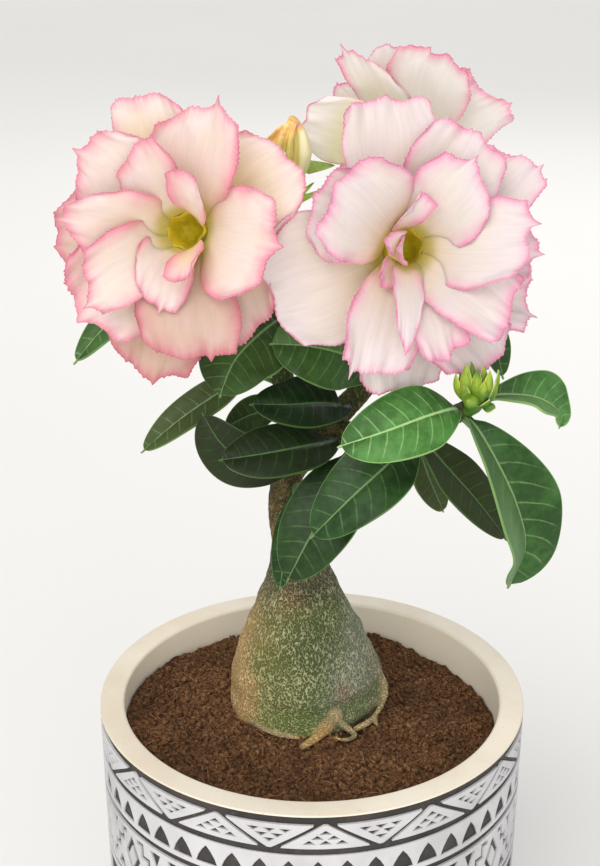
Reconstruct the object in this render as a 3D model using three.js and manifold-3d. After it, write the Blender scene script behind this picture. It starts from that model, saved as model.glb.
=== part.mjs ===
// Potted desert rose: a double-flowered adenium with a swollen base, in a round patterned pot.
// Millimetres, +Z up. The origin is the middle of the pot's flat foot, and the front faces -Y.
import * as THREE from 'three';
import { mergeVertices } from 'three/addons/utils/BufferGeometryUtils.js';
import Module from 'manifold-3d';

const wasm = await Module();
wasm.setup();

// Driving dimensions
const CLEARANCE = 0.3;
const POT_HEIGHT = 125;
const POT_RADIUS = 70;
const POT_WALL = 8;
const POT_FLOOR = 9;
const POT_TAPER = 0.011; // how much the radius shrinks for each millimetre down the wall
const GROOVE = 0.8; // depth of the rings between the bands
const FOOT_ROUND = 5;
const RIM_ROUND = 0.7;
const INNER_DRAFT = 1; // how much narrower the inside is near its floor
const INNER_CORNER = 5;
const SOIL_TOP = 117;
const TRUNK_FOOT = 98;
const BLADE = 0.8; // thickness of a petal or a leaf at its edge
const PETIOLE = 2.2;
const TUBE_LENGTH = 28;
const TUBE_FOOT_RADIUS = 3.2;
const TUBE_MOUTH_RADIUS = 6.4;
const THROAT_RADIUS = 4.6;
const THROAT_DEPTH = 13;
const PETAL_CLAW = 0.24; // how wide a petal is at its root, as a share of its full width
const PETAL_CUP = 0.16; // how far a petal's sides rise, as a share of its half width
const CALYX_WALL = 1.1;
const CALYX_CUP = 4; // height of the calyx below its five points
const CALYX_LOBE = 4;

const COLOURS = {
  cream: 0xe6ddc8,
  soil: 0x4a3022,
  bark: 0x847f5f,
  leaf: 0x2f5d2c,
  stalk: 0x6f8f3a,
  petal: 0xf4d9d2,
  withered: 0xe6d08a,
  bud: 0xa9bd3a,
};

const rad = THREE.MathUtils.degToRad;
const vec = (x, y, z) => new THREE.Vector3(x, y, z);
const smooth = THREE.MathUtils.smoothstep;

// Solids: a closed geometry in, a closed geometry out
function solid(geometry) {
  const bare = geometry.toNonIndexed();
  bare.deleteAttribute('normal');
  bare.deleteAttribute('uv');
  const merged = mergeVertices(bare, 1e-4);
  const mesh = new wasm.Mesh({
    numProp: 3,
    vertProperties: new Float32Array(merged.attributes.position.array),
    triVerts: new Uint32Array(merged.index.array),
  });
  return new wasm.Manifold(mesh);
}

function union(geometries) {
  return geometries.map(solid).reduce((whole, next) => whole.add(next));
}

// The outer skin of the largest body: sealed hollows are filled and loose scraps are dropped
function mainBody(shape) {
  const bodies = shape.decompose();
  bodies.sort((a, b) => b.volume() - a.volume());
  const mesh = bodies[0].getMesh();
  const geometry = new THREE.BufferGeometry();
  geometry.setAttribute('position', new THREE.BufferAttribute(new Float32Array(mesh.vertProperties), 3));
  geometry.setIndex(new THREE.BufferAttribute(new Uint32Array(mesh.triVerts), 1));
  geometry.computeVertexNormals();
  return geometry;
}

function surface(vertices, triangles) {
  const geometry = new THREE.BufferGeometry();
  const places = vertices.flatMap((p) => [p.x, p.y, p.z]);
  geometry.setAttribute('position', new THREE.Float32BufferAttribute(places, 3));
  geometry.setIndex(triangles);
  geometry.setAttribute('uv', new THREE.Float32BufferAttribute(new Array(vertices.length * 2).fill(0), 2));
  geometry.computeVertexNormals();
  return geometry;
}

// Limb: round sections along a smooth curve, with a closed end at each side
function limb(points, radii, sides = 10, stepsPerSpan = 2, swell = () => 1) {
  const curve = new THREE.CatmullRomCurve3(points, false, 'centripetal');
  const steps = (points.length - 1) * stepsPerSpan;
  const vertices = [];
  const triangles = [];
  let across = vec(1, 0, 0);
  for (let i = 0; i <= steps; i += 1) {
    const t = i / steps;
    const place = curve.getPoint(t);
    const along = curve.getTangent(t);
    const before = Math.min(Math.floor(t * (points.length - 1)), points.length - 2);
    const share = t * (points.length - 1) - before;
    const radius = THREE.MathUtils.lerp(radii[before], radii[before + 1], share);
    across = across.clone().addScaledVector(along, -across.dot(along)).normalize();
    const third = along.clone().cross(across);
    for (let k = 0; k < sides; k += 1) {
      const angle = (2 * Math.PI * k) / sides;
      const size = radius * swell(place.z, angle);
      const sideways = across.clone().multiplyScalar(size * Math.cos(angle));
      vertices.push(place.clone().add(sideways).addScaledVector(third, size * Math.sin(angle)));
    }
  }
  const first = vertices.length;
  vertices.push(curve.getPoint(0), curve.getPoint(1));
  for (let k = 0; k < sides; k += 1) {
    const next = (k + 1) % sides;
    triangles.push(first, next, k);
    triangles.push(first + 1, steps * sides + k, steps * sides + next);
    for (let i = 0; i < steps; i += 1) {
      const a = i * sides;
      const b = a + sides;
      triangles.push(a + k, a + next, b + next, a + k, b + next, b + k);
    }
  }
  return surface(vertices, triangles);
}

// Sheet: a curved blade of some thickness. Both faces are split into triangles the same way.
function sheet(columns, rows, middle, thickness) {
  const triangles = [];
  const step = 1e-3;
  const size = (columns + 1) * (rows + 1);
  const upper = [];
  const lower = [];
  for (let i = 0; i <= rows; i += 1) {
    for (let j = 0; j <= columns; j += 1) {
      const u = i / rows;
      const v = (2 * j) / columns - 1;
      const place = middle(u, v);
      const alongU = middle(Math.min(u + step, 1), v).sub(middle(Math.max(u - step, 0), v));
      const alongV = middle(u, Math.min(v + step, 1)).sub(middle(u, Math.max(v - step, -1)));
      const normal = alongU.cross(alongV).normalize();
      const half = thickness(u, v) / 2;
      upper.push(place.clone().addScaledVector(normal, half));
      lower.push(place.clone().addScaledVector(normal, -half));
    }
  }
  const at = (i, j) => i * (columns + 1) + j;
  for (let i = 0; i < rows; i += 1) {
    for (let j = 0; j < columns; j += 1) {
      const quad = [at(i, j), at(i + 1, j), at(i + 1, j + 1), at(i, j + 1)];
      const [a, b, c, d] = (i + j) % 2 ? quad : [quad[1], quad[2], quad[3], quad[0]];
      triangles.push(a, b, c, a, c, d);
      triangles.push(a + size, c + size, b + size, a + size, d + size, c + size);
    }
  }
  const rim = [];
  for (let j = 0; j < columns; j += 1) {
    rim.push(at(0, j));
  }
  for (let i = 0; i < rows; i += 1) {
    rim.push(at(i, columns));
  }
  for (let j = columns; j > 0; j -= 1) {
    rim.push(at(rows, j));
  }
  for (let i = rows; i > 0; i -= 1) {
    rim.push(at(i, 0));
  }
  rim.forEach((a, k) => {
    const b = rim[(k + 1) % rim.length];
    triangles.push(a, b, b + size, a, b + size, a + size);
  });
  return surface([...upper, ...lower], triangles);
}

// Pot: a straight-walled planter with a flat foot, a rounded rim and ring grooves between its bands
function wallRadius(z) {
  return POT_RADIUS - POT_TAPER * (POT_HEIGHT - z);
}

const POT_GROOVES = [[0.8, 2.8], [11.9, 14.3], [24.8, 27.0]]; // depths below the rim

function pot() {
  const profile = [new THREE.Vector2(0, 0), new THREE.Vector2(wallRadius(0) - FOOT_ROUND, 0)];
  profile.push(new THREE.Vector2(wallRadius(0) - 0.28 * FOOT_ROUND, 0.32 * FOOT_ROUND));
  profile.push(new THREE.Vector2(wallRadius(FOOT_ROUND), FOOT_ROUND));
  for (const [top, bottom] of [...POT_GROOVES].reverse()) {
    const low = POT_HEIGHT - bottom;
    const high = POT_HEIGHT - top;
    profile.push(new THREE.Vector2(wallRadius(low), low - 0.3));
    profile.push(new THREE.Vector2(wallRadius(low) - GROOVE, low));
    profile.push(new THREE.Vector2(wallRadius(high) - GROOVE, high));
    profile.push(new THREE.Vector2(wallRadius(high), high + 0.3));
  }
  const inside = POT_RADIUS - POT_WALL;
  profile.push(new THREE.Vector2(POT_RADIUS - RIM_ROUND, POT_HEIGHT));
  profile.push(new THREE.Vector2(inside + RIM_ROUND, POT_HEIGHT));
  profile.push(new THREE.Vector2(inside, POT_HEIGHT - RIM_ROUND));
  profile.push(new THREE.Vector2(inside - INNER_DRAFT, POT_FLOOR + INNER_CORNER + 1));
  profile.push(new THREE.Vector2(inside - INNER_CORNER, POT_FLOOR));
  profile.push(new THREE.Vector2(0, POT_FLOOR));
  return upright(new THREE.LatheGeometry(profile, 40));
}

// A lathe turns round Y, so its work is stood up to turn round Z
function upright(lathe) {
  return lathe.rotateX(Math.PI / 2);
}

// Soil: fills the pot, mounded round the plant and to the left, lower at the right and the back
function soilHeight(x, y) {
  const fall = 5.5 * smooth(Math.hypot(x + 34, y + 22), 44, 98);
  const mound = 1.6 * (1 - smooth(Math.hypot(x, y - 8), 26, 46));
  const lumps = 0.5 * Math.sin(0.31 * x + 1.3) * Math.sin(0.27 * y) + 0.35 * Math.sin(0.7 * x - 0.5 * y);
  return SOIL_TOP - fall + mound + lumps;
}

function soil() {
  const bottom = POT_RADIUS - POT_WALL - INNER_CORNER - CLEARANCE;
  const side = POT_RADIUS - POT_WALL - INNER_DRAFT - CLEARANCE;
  const profile = [new THREE.Vector2(0, POT_FLOOR), new THREE.Vector2(bottom - 0.4, POT_FLOOR)];
  profile.push(new THREE.Vector2(side - 0.1, POT_FLOOR + 6.8));
  for (const radius of [side + 0.7, 50, 38, 30, 0]) {
    profile.push(new THREE.Vector2(radius, SOIL_TOP));
  }
  const geometry = upright(new THREE.LatheGeometry(profile, 32));
  const place = geometry.attributes.position;
  for (let i = 0; i < place.count; i += 1) {
    if (place.getZ(i) > SOIL_TOP - 1) {
      place.setZ(i, soilHeight(place.getX(i), place.getY(i)));
    }
  }
  return mainBody(solid(geometry).subtract(trunkBody(CLEARANCE)));
}

// Trunk: the swollen base with its creases, the stem, three branches and the roots at the surface
const FORK = vec(-2, 6, 209);
const BRANCH_LEFT = [FORK, vec(-7, 9, 222), vec(-10, 9, 238), vec(-10, 10, 256)];
const BRANCH_RIGHT = [FORK, vec(8, 9, 220), vec(18, 11, 232), vec(22, 12, 250)];
const FRONT_TIP = vec(44, -36, 240);
const BRANCH_FRONT = [vec(2, 6, 214), vec(16, -2, 219), vec(30, -17, 227), vec(40, -32, 236), FRONT_TIP];

function caudexSwell(z, angle) {
  const low = 1 - smooth(z, 118, 160);
  const lobes = 0.035 * Math.sin(3 * angle + 0.6) + 0.03 * Math.sin(5 * angle + 2.2);
  return 1 + low * lobes + 0.012 * Math.sin(0.75 * z + angle);
}

function trunkBody(grow) {
  const wider = (radii) => radii.map((r) => r + grow);
  const caudex = [vec(-2, 8, TRUNK_FOOT - grow), vec(-2, 8, 104), vec(-2, 8, 112), vec(-2.3, 8, 119)];
  caudex.push(vec(-2.8, 8, 130), vec(-3.2, 8, 142), vec(-3.6, 8, 153), vec(-4.2, 8, 164));
  caudex.push(vec(-6.4, 8, 176), vec(-9, 8, 190), vec(-7, 7, 202), FORK);
  const caudexRadii = [9, 18, 24.5, 26.3, 24.8, 20.6, 15.9, 11, 6.8, 5.1, 4.8, 5.2];
  const pieces = [limb(caudex, wider(caudexRadii), 22, 1, caudexSwell)];
  pieces.push(limb(BRANCH_LEFT, wider([4.6, 3.9, 3.4, 3.0]), 8, 1));
  pieces.push(limb(BRANCH_RIGHT, wider([4.6, 4.0, 3.5, 3.0]), 8, 1));
  pieces.push(limb(BRANCH_FRONT, wider([4.0, 3.6, 3.2, 2.9, 2.6]), 8, 1));
  const rootFront = [vec(8, -10, 122), vec(6, -16.5, 120.5), vec(1, -21, 119), vec(-5, -25.5, 116.8)];
  const rootCurl = [vec(5, -14, 121), vec(10, -19, 119.5), vec(14, -19.5, 118.8), vec(17, -14, 118.4)];
  const rootSide = [vec(19, -1, 128), vec(24.5, -6, 122), vec(24, -12, 118.6), vec(20.5, -17, 116.6)];
  pieces.push(limb(rootFront, wider([2.4, 2.3, 2.0, 1.2]), 7));
  pieces.push(limb(rootCurl, wider([1.6, 1.3, 1.1, 0.9]), 6));
  pieces.push(limb(rootSide, wider([1.6, 1.5, 1.2, 0.8]), 6));
  return union(pieces);
}

// Leaves: each follows a curve from its branch, and its face turns towards a given direction
const LEAF_TABLE = [
  {
    path: [[42, -34, 239], [39, -39.5, 241], [32, -43.5, 240.5], [20, -46.5, 237], [6.5, -46, 232]],
    width: 10.8,
    face: [-0.15, -0.72, 0.68],
    fold: 8,
  },
  {
    path: [
      [41, -33.5, 237.5], [48.5, -32, 240.5], [55.5, -31, 241.5],
      [62, -29, 240], [68.5, -27.5, 236.5], [70.5, -28.5, 230.5],
    ],
    width: 8,
    face: [0.1, -0.5, 0.86],
    fold: 34,
  },
  {
    path: [
      [43, -35, 237.5], [46, -40, 235.5], [52, -42.5, 226],
      [58.5, -43.5, 212], [61.5, -42, 199], [58, -38, 183],
    ],
    width: 12,
    face: [0.55, -0.7, 0.45],
    fold: 30,
  },
  {
    path: [[26, -14, 225], [33, -21, 223], [41, -21, 214], [50, -19.5, 203], [60, -18, 189]],
    width: 7.5,
    face: [0.3, -0.75, 0.59],
    fold: 16,
  },
  {
    path: [[24, -10, 223], [32, -11, 216], [36, -10, 206], [41, -8, 194]],
    width: 5.5,
    face: [0.35, -0.9, 0.25],
    fold: 14,
  },
  {
    path: [[25, -12, 224], [27, -25, 223], [22, -31, 220.5], [11, -36.5, 212], [-1, -39, 200]],
    width: 11,
    face: [-0.3, -0.78, 0.55],
    fold: 12,
  },
  {
    path: [[10, 2, 216], [12, -12, 214], [7, -20, 206], [-1, -26, 194], [-8, -28, 180]],
    width: 11.5,
    face: [-0.2, -0.82, 0.53],
    fold: 10,
  },
  {
    path: [[-7, 7, 202], [-8, -2, 195], [-10, -9, 185], [-11, -14, 171]],
    width: 6.5,
    face: [-0.6, -0.75, 0.28],
    fold: 10,
  },
  {
    path: [[5, 4, 215], [5, -10, 219], [-3, -18, 220.5], [-16, -23, 220], [-28, -25, 219]],
    width: 9.5,
    face: [-0.1, -0.62, 0.78],
    fold: 10,
  },
  {
    path: [[-4, 6, 208], [-10, 0, 206], [-20, -3, 209], [-28, -5, 216], [-34, -4, 226]],
    width: 9.5,
    face: [-0.45, -0.85, 0.27],
    fold: 12,
  },
  {
    path: [[6, 8, 219], [9, -4, 228], [2, -9, 231], [-7, -13, 232], [-19, -15, 233]],
    width: 9.5,
    face: [-0.05, -0.6, 0.8],
    fold: 12,
  },
  {
    path: [[19, 11, 234], [17, -2, 240], [9, -7, 246], [-2, -11, 250], [-13, -12, 251]],
    width: 10.5,
    face: [-0.15, -0.78, 0.61],
    fold: 10,
  },
  {
    path: [[-10, 9, 250], [-11, 0, 254], [-17, -6, 251], [-23, -11, 245], [-28, -15, 235]],
    width: 10.5,
    face: [-0.35, -0.8, 0.48],
    fold: 10,
  },
  {
    path: [[-9, 9, 230], [-19, 8, 234], [-30, 6, 228], [-42, 4, 220], [-54, 2, 210]],
    width: 6,
    face: [-0.3, -0.72, 0.62],
    fold: 18,
  },
  {
    path: [[-10, 9, 246], [-30, 11, 256], [-48, 9, 258], [-62, 4, 252], [-73, -2, 241]],
    width: 6.5,
    face: [-0.3, -0.6, 0.74],
    fold: 14,
  },
  {
    path: [[-5, 8, 217], [-12, 10, 221], [-19, 12, 219], [-28, 13, 214]],
    width: 6,
    face: [-0.2, -0.8, 0.56],
    fold: 12,
  },
  {
    path: [[21, 12, 240], [32, 14, 249], [44, 16, 252], [56, 17, 243], [61, 17, 229]],
    width: 7,
    face: [0.3, -0.7, 0.64],
    fold: 14,
  },
  {
    path: [[20, 12, 236], [20, 26, 240], [22, 40, 237], [24, 52, 226]],
    width: 10,
    face: [0.1, 0.5, 0.86],
    fold: 14,
  },
  {
    path: [[-9, 9, 236], [-14, 22, 240], [-18, 34, 236], [-22, 46, 225]],
    width: 9.5,
    face: [-0.1, 0.5, 0.86],
    fold: 14,
  },
];

// The blade widens to its fullest past the middle and closes in a short point
function leafWidth(s) {
  const stalk = 0.13;
  if (s < stalk) return 0.1;
  const t = (s - stalk) / (1 - stalk);
  return 0.1 + 0.9 * Math.sin(Math.PI * Math.min(1, t ** 1.18)) ** 0.85;
}

function leaf({ path, width, face, fold }) {
  const curve = new THREE.CatmullRomCurve3(path.map((p) => vec(...p)), false, 'centripetal');
  const facing = vec(...face).normalize();
  const middle = (u, v) => {
    const place = curve.getPoint(u);
    const along = curve.getTangent(u);
    const side = along.clone().cross(facing).normalize();
    const up = side.clone().cross(along);
    const half = width * leafWidth(u);
    const lift = Math.tan(rad(fold)) * Math.abs(v) - 0.12 * v * v;
    const wave = 0.05 * Math.sin(9 * u + 2 * v) * v * v;
    return place.addScaledVector(side, -half * v).addScaledVector(up, half * (lift + wave));
  };
  const thickness = (u, v) => {
    const nearStalk = (1 - smooth(u, 0.02, 0.4)) * (1 - 0.75 * Math.abs(v));
    return BLADE + (PETIOLE - BLADE) * nearStalk;
  };
  return sheet(4, 6, middle, thickness);
}

// Blooms: a funnel tube and whorls of petals round the throat.
// A bloom's frame has its axis out of the throat, up and right across its face.
function bloomFrame(throat, axis, upHint) {
  const out = vec(...axis).normalize();
  const up = vec(...upHint).addScaledVector(out, -vec(...upHint).dot(out)).normalize();
  return { throat: vec(...throat), out, up, right: up.clone().cross(out) };
}

function intoFrame(geometry, { throat, out, up, right }) {
  return geometry.applyMatrix4(new THREE.Matrix4().makeBasis(right, up, out).setPosition(throat));
}

function tube(frame) {
  const profile = [
    [0, -TUBE_LENGTH],
    [TUBE_FOOT_RADIUS, -TUBE_LENGTH],
    [TUBE_FOOT_RADIUS + 0.5, -TUBE_LENGTH * 0.7],
    [TUBE_MOUTH_RADIUS - 0.3, -TUBE_LENGTH * 0.35],
    [TUBE_MOUTH_RADIUS, -1],
    [THROAT_RADIUS + 0.6, 0],
    [THROAT_RADIUS, -1.5],
    [THROAT_RADIUS * 0.75, -THROAT_DEPTH * 0.7],
    [0, -THROAT_DEPTH],
  ];
  const points = profile.map(([radius, height]) => new THREE.Vector2(radius, height));
  return intoFrame(upright(new THREE.LatheGeometry(points, 12)), frame);
}

// How a petal of each whorl rises: the angles of its root and its tip from the axis, and its root's height
const WHORLS = {
  outer: { rise: [60, 100], height: -9, root: 5.0 },
  middle: { rise: [46, 92], height: -5.5, root: 5.2 },
  inner: { rise: [24, 84], height: -2.5, root: 5.2 },
  core: { rise: [8, 62], height: -1, root: 5.2 },
};

function petal(frame, whorl, clock, reach, width, options = {}) {
  const { height, root } = WHORLS[whorl];
  const { rise = WHORLS[whorl].rise, lean = 0, tip = 0, roll = 14, blunt = 0.24, wave = 1 } = options;
  const [from, to] = rise.map(rad);
  const bend = to - from;
  const length = ((reach - root) * bend) / (Math.cos(from) - Math.cos(to));
  const angle = rad(clock);
  const away = frame.right.clone().multiplyScalar(Math.cos(angle));
  away.addScaledVector(frame.up, Math.sin(angle));
  const across = frame.out.clone().cross(away);
  const parts = whorl === 'core' ? 3 : 4;
  return sheet(parts, parts, (u, v) => {
    const point = 0.06 * Math.exp(-(((v - tip) / 0.15) ** 2));
    const margin = 1 + point - blunt * (Math.abs(v - tip) / (1 + Math.abs(tip))) ** 2.2;
    const t = Math.max(0, u * margin);
    const tilt = from + bend * t;
    const out = root + (length * (Math.cos(from) - Math.cos(tilt))) / bend;
    const up = height + (length * (Math.sin(tilt) - Math.sin(from))) / bend;
    const spread = PETAL_CLAW + (1 - PETAL_CLAW) * Math.sin((Math.PI / 2) * Math.min(1, u / 0.7));
    const half = width * spread * (1 - 0.14 * smooth(u, 0.72, 1));
    const turn = rad(roll) * smooth(u, 0, 0.6);
    const face = frame.out.clone().multiplyScalar(Math.sin(tilt)).addScaledVector(away, -Math.cos(tilt));
    const side = across.clone().multiplyScalar(Math.cos(turn)).addScaledVector(face, -Math.sin(turn));
    const over = face.clone().multiplyScalar(Math.cos(turn)).addScaledVector(across, Math.sin(turn));
    const ripple = 0.07 * wave * u * u * Math.sin(4.2 * v + rad(clock) * 3) * (0.4 + v * v);
    return frame.throat.clone()
      .addScaledVector(away, out)
      .addScaledVector(frame.out, up)
      .addScaledVector(side, half * v + lean * u * u)
      .addScaledVector(over, half * (PETAL_CUP * v * v + ripple));
  }, () => BLADE);
}

function bloom(frame, petals) {
  return union([tube(frame), ...petals.map((row) => petal(frame, ...row))]);
}

const LEFT = bloomFrame([-37, -20, 287.5], [-0.2, -0.94, 0.27], [0, 0, 1]);
const RIGHT = bloomFrame([26, -25, 284.2], [0.12, -0.955, 0.269], [0, 0, 1]);
const BACK = bloomFrame([29, 27, 304], [-0.06, 0.68, 0.73], [0, 0, 1]);

// Each row: whorl, clock angle from the right, reach from the axis, half width, and what bends it
const LEFT_PETALS = [
  ['outer', 113, 41, 17, {}],
  ['outer', 35, 38, 17, {}],
  ['outer', -55, 35.5, 14, {}],
  ['outer', 255, 42, 16, {}],
  ['outer', 184, 38.5, 16, {}],
  ['middle', 80, 36.5, 14, { tip: -0.1 }],
  ['middle', -8, 29, 16.5, { tip: 0.1, rise: [34, 80], roll: 0 }],
  ['middle', -81, 36, 14.5, { tip: 0.25 }],
  ['middle', 222, 36, 16.5, { tip: 0.1, wave: 1.6 }],
  ['middle', 145, 37, 14.5, {}],
  ['inner', 118, 25, 10, { tip: -0.3, roll: 20 }],
  ['inner', 173, 32.5, 10, { tip: 0.1, roll: 20 }],
  ['inner', 216, 29, 10.5, { tip: 0.5, roll: 20 }],
  ['inner', 250, 22, 9.5, { tip: 0.3, roll: 20 }],
  ['core', 63, 17, 6.5, { roll: -20 }],
  ['core', -58, 12, 4, { roll: 20 }],
];

const RIGHT_PETALS = [
  ['outer', 97, 42, 14.5, { blunt: 0.14 }],
  ['outer', 199, 37.5, 18.5, { rise: [70, 98], roll: 8, blunt: 0.18 }],
  ['outer', 266, 41.5, 14.5, { blunt: 0.16 }],
  ['outer', -27, 40, 12.5, {}],
  ['outer', 30, 39, 13, {}],
  ['middle', 54, 39, 13.5, { rise: [54, 90] }],
  ['middle', -5, 37.5, 12, {}],
  ['middle', -58, 40, 14, { rise: [54, 94], blunt: 0.14 }],
  ['middle', 250, 36, 11, { rise: [40, 88], roll: 4, blunt: 0.1 }],
  ['middle', 150, 30, 14, {}],
  ['inner', 48, 28, 11.5, { tip: 0.3 }],
  ['inner', 4, 35.5, 13, { tip: 0.2 }],
  ['inner', -37, 35, 12, { tip: -0.3, blunt: 0.14 }],
  ['inner', -76, 31, 8.5, { blunt: 0.1 }],
  ['inner', 146, 28, 15.5, { roll: 4, blunt: 0.16 }],
  ['core', 262, 23, 5, { rise: [14, 84] }],
  ['core', 108, 13, 4, { lean: -7 }],
  ['core', 190, 10, 3.6, {}],
];

const BACK_PETALS = [
  ['outer', 2, 35, 12, { roll: -24 }],
  ['outer', 54, 38, 11, { rise: [50, 84], lean: -3 }],
  ['outer', 100, 37, 13, { rise: [50, 86] }],
  ['outer', 156, 36, 13, {}],
  ['outer', 222, 28, 12, {}],
  ['outer', 308, 28, 12, {}],
  ['middle', 30, 29, 11, {}],
  ['middle', 80, 32, 12.5, {}],
  ['middle', 132, 32, 12, {}],
  ['middle', 264, 24, 12, {}],
  ['inner', 10, 20, 9, {}],
  ['inner', 110, 21, 9, {}],
  ['inner', 230, 19, 9, {}],
];

// Flower stalks: green stems from a branch end, each with a five-pointed calyx round a tube's foot
function calyx(frame, grow) {
  const inner = TUBE_FOOT_RADIUS + 2 * CLEARANCE;
  const outer = inner + CALYX_WALL + grow;
  const profile = [[0, -2], [2.4 + grow, -1.6], [outer, 0.5], [outer + 0.5, CALYX_CUP]];
  profile.push([inner + 0.5, CALYX_CUP], [inner, 0], [0, 0]);
  const points = profile.map(([radius, height]) => new THREE.Vector2(radius, height));
  const cup = upright(new THREE.LatheGeometry(points, 10));
  const place = cup.attributes.position;
  for (let i = 0; i < place.count; i += 1) {
    const turn = Math.atan2(place.getY(i), place.getX(i));
    const lobe = Math.sin(5 * turn) > 0 ? CALYX_LOBE : 0;
    if (place.getZ(i) > CALYX_CUP - 1) place.setZ(i, CALYX_CUP + lobe);
    place.setZ(i, place.getZ(i) - TUBE_LENGTH - CLEARANCE);
  }
  return intoFrame(cup, frame);
}

function stalk(frame, from, bend, grow = 0) {
  const foot = frame.throat.clone().addScaledVector(frame.out, -TUBE_LENGTH);
  const seat = foot.clone().addScaledVector(frame.out, -1);
  const before = foot.clone().addScaledVector(frame.out, -6);
  const radii = [2.4, 2.0, 2.2, 2.6].map((r) => r + grow);
  return [limb([from, bend, before, seat], radii, 7, 1), calyx(frame, grow)];
}

function bract(root, end, width, grow) {
  const along = end.clone().sub(root);
  const side = along.clone().cross(vec(0, -1, 0.4)).normalize();
  const middle = (u, v) => {
    const half = width * Math.sin(Math.PI * (0.12 + 0.82 * u));
    const fold = vec(0, 1.2 * u * u * Math.abs(v), 0);
    return root.clone().addScaledVector(along, u).addScaledVector(side, half * v).add(fold);
  };
  return sheet(2, 3, middle, () => BLADE + 2 * grow);
}

const LEFT_TOP = vec(-10, 10, 284);
const BRACTS = [[4, 12, 296, 2.4], [1, 3, 289, 2.0], [-18, 4, 287, 2.0], [-13, 18, 298, 2.2]];

function stalksLeft(grow) {
  const stem = [vec(-10, 10, 250), vec(-10.5, 10, 264), vec(-10.5, 10, 276), LEFT_TOP];
  return union([
    ...stalk(LEFT, vec(-10, 10, 262), vec(-16, 10, 272), grow),
    limb(stem, [2.6, 2.5, 2.4, 2.8].map((r) => r + grow), 7, 1),
    ...BRACTS.map(([x, y, z, width]) => bract(LEFT_TOP, vec(x, y, z), width + grow, grow)),
  ]);
}

function stalksRight() {
  return union([
    ...stalk(RIGHT, vec(22, 12, 250), vec(22, 11, 262)),
    ...stalk(BACK, vec(22, 12, 248), vec(25, 13, 264)),
  ]);
}

// Withered bloom: a flower that has folded shut, flat sided, with a twisted tip
function witheredBloom() {
  const path = [vec(-10, 9.5, 284), vec(-7, 7, 293), vec(-6, 4, 303), vec(-7, 3, 311), vec(-5.5, 2.5, 317)];
  const pleats = (z, angle) => 1 + 0.14 * Math.sin(3 * angle + z * 0.12);
  const wide = limb(path, [2.0, 4.4, 5.2, 3.2, 1.1], 9, 1, pleats);
  const flap = [vec(-6.5, 3, 300), vec(-10, 1, 306), vec(-14, 0, 310.5)];
  return union([wide, limb(flap, [3.0, 2.4, 0.9], 7, 1)]);
}

// Bud cluster: young buds and leaflets round the front branch's tip
function budCluster() {
  const heart = vec(46, -40, 243.5);
  const stem = [vec(44, -36, 239), vec(45.2, -38, 241.5), heart];
  const pieces = [limb(stem, [2.0, 2.6, 2.8], 8, 1)];
  const tips = [[41.5, -42, 251.5], [45, -45, 253], [49, -43, 252], [51.5, -40.5, 249], [46.5, -42.5, 254]];
  tips.push([43, -46, 245.5], [50.5, -45, 246], [48, -48, 248], [41, -40, 247], [49.5, -39.5, 250.5]);
  for (const tip of tips) {
    const end = vec(...tip);
    const belly = heart.clone().lerp(end, 0.62);
    pieces.push(limb([heart, belly, end], [1.1, 1.7, 0.45], 5, 1));
  }
  return union(pieces);
}

// The assembly
const group = new THREE.Group();
const materials = {
  pot: new THREE.MeshStandardMaterial({ color: COLOURS.cream, roughness: 0.55, metalness: 0 }),
  soil: new THREE.MeshStandardMaterial({ color: COLOURS.soil, roughness: 1, metalness: 0 }),
  bark: new THREE.MeshStandardMaterial({ color: COLOURS.bark, roughness: 0.85, metalness: 0 }),
  leaf: new THREE.MeshStandardMaterial({ color: COLOURS.leaf, roughness: 0.4, metalness: 0 }),
  stalk: new THREE.MeshStandardMaterial({ color: COLOURS.stalk, roughness: 0.6, metalness: 0 }),
  petal: new THREE.MeshStandardMaterial({ color: COLOURS.petal, roughness: 0.6, metalness: 0 }),
  withered: new THREE.MeshStandardMaterial({ color: COLOURS.withered, roughness: 0.7, metalness: 0 }),
  bud: new THREE.MeshStandardMaterial({ color: COLOURS.bud, roughness: 0.5, metalness: 0 }),
};

function place(name, geometry, material) {
  const mesh = new THREE.Mesh(geometry, material);
  mesh.name = name;
  group.add(mesh);
}

const trunkRoom = trunkBody(CLEARANCE);

place('pot', mainBody(solid(pot())), materials.pot);
place('soil', soil(), materials.soil);
place('trunk', mainBody(trunkBody(0)), materials.bark);
LEAF_TABLE.forEach((row, k) => {
  const name = `leaf_${String(k + 1).padStart(2, '0')}`;
  place(name, mainBody(solid(leaf(row)).subtract(trunkRoom)), materials.leaf);
});
place('stalks_left', mainBody(stalksLeft(0).subtract(trunkRoom)), materials.stalk);
place('stalks_right', mainBody(stalksRight().subtract(trunkRoom)), materials.stalk);
place('bloom_left', mainBody(bloom(LEFT, LEFT_PETALS)), materials.petal);
place('bloom_right', mainBody(bloom(RIGHT, RIGHT_PETALS)), materials.petal);
place('bloom_back', mainBody(bloom(BACK, BACK_PETALS)), materials.petal);
place('spent_bloom', mainBody(witheredBloom().subtract(stalksLeft(CLEARANCE))), materials.withered);
place('bud_cluster', mainBody(budCluster().subtract(trunkRoom)), materials.bud);

export default group;
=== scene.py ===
import math
import random
import bpy
from mathutils import Euler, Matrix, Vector, noise


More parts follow.
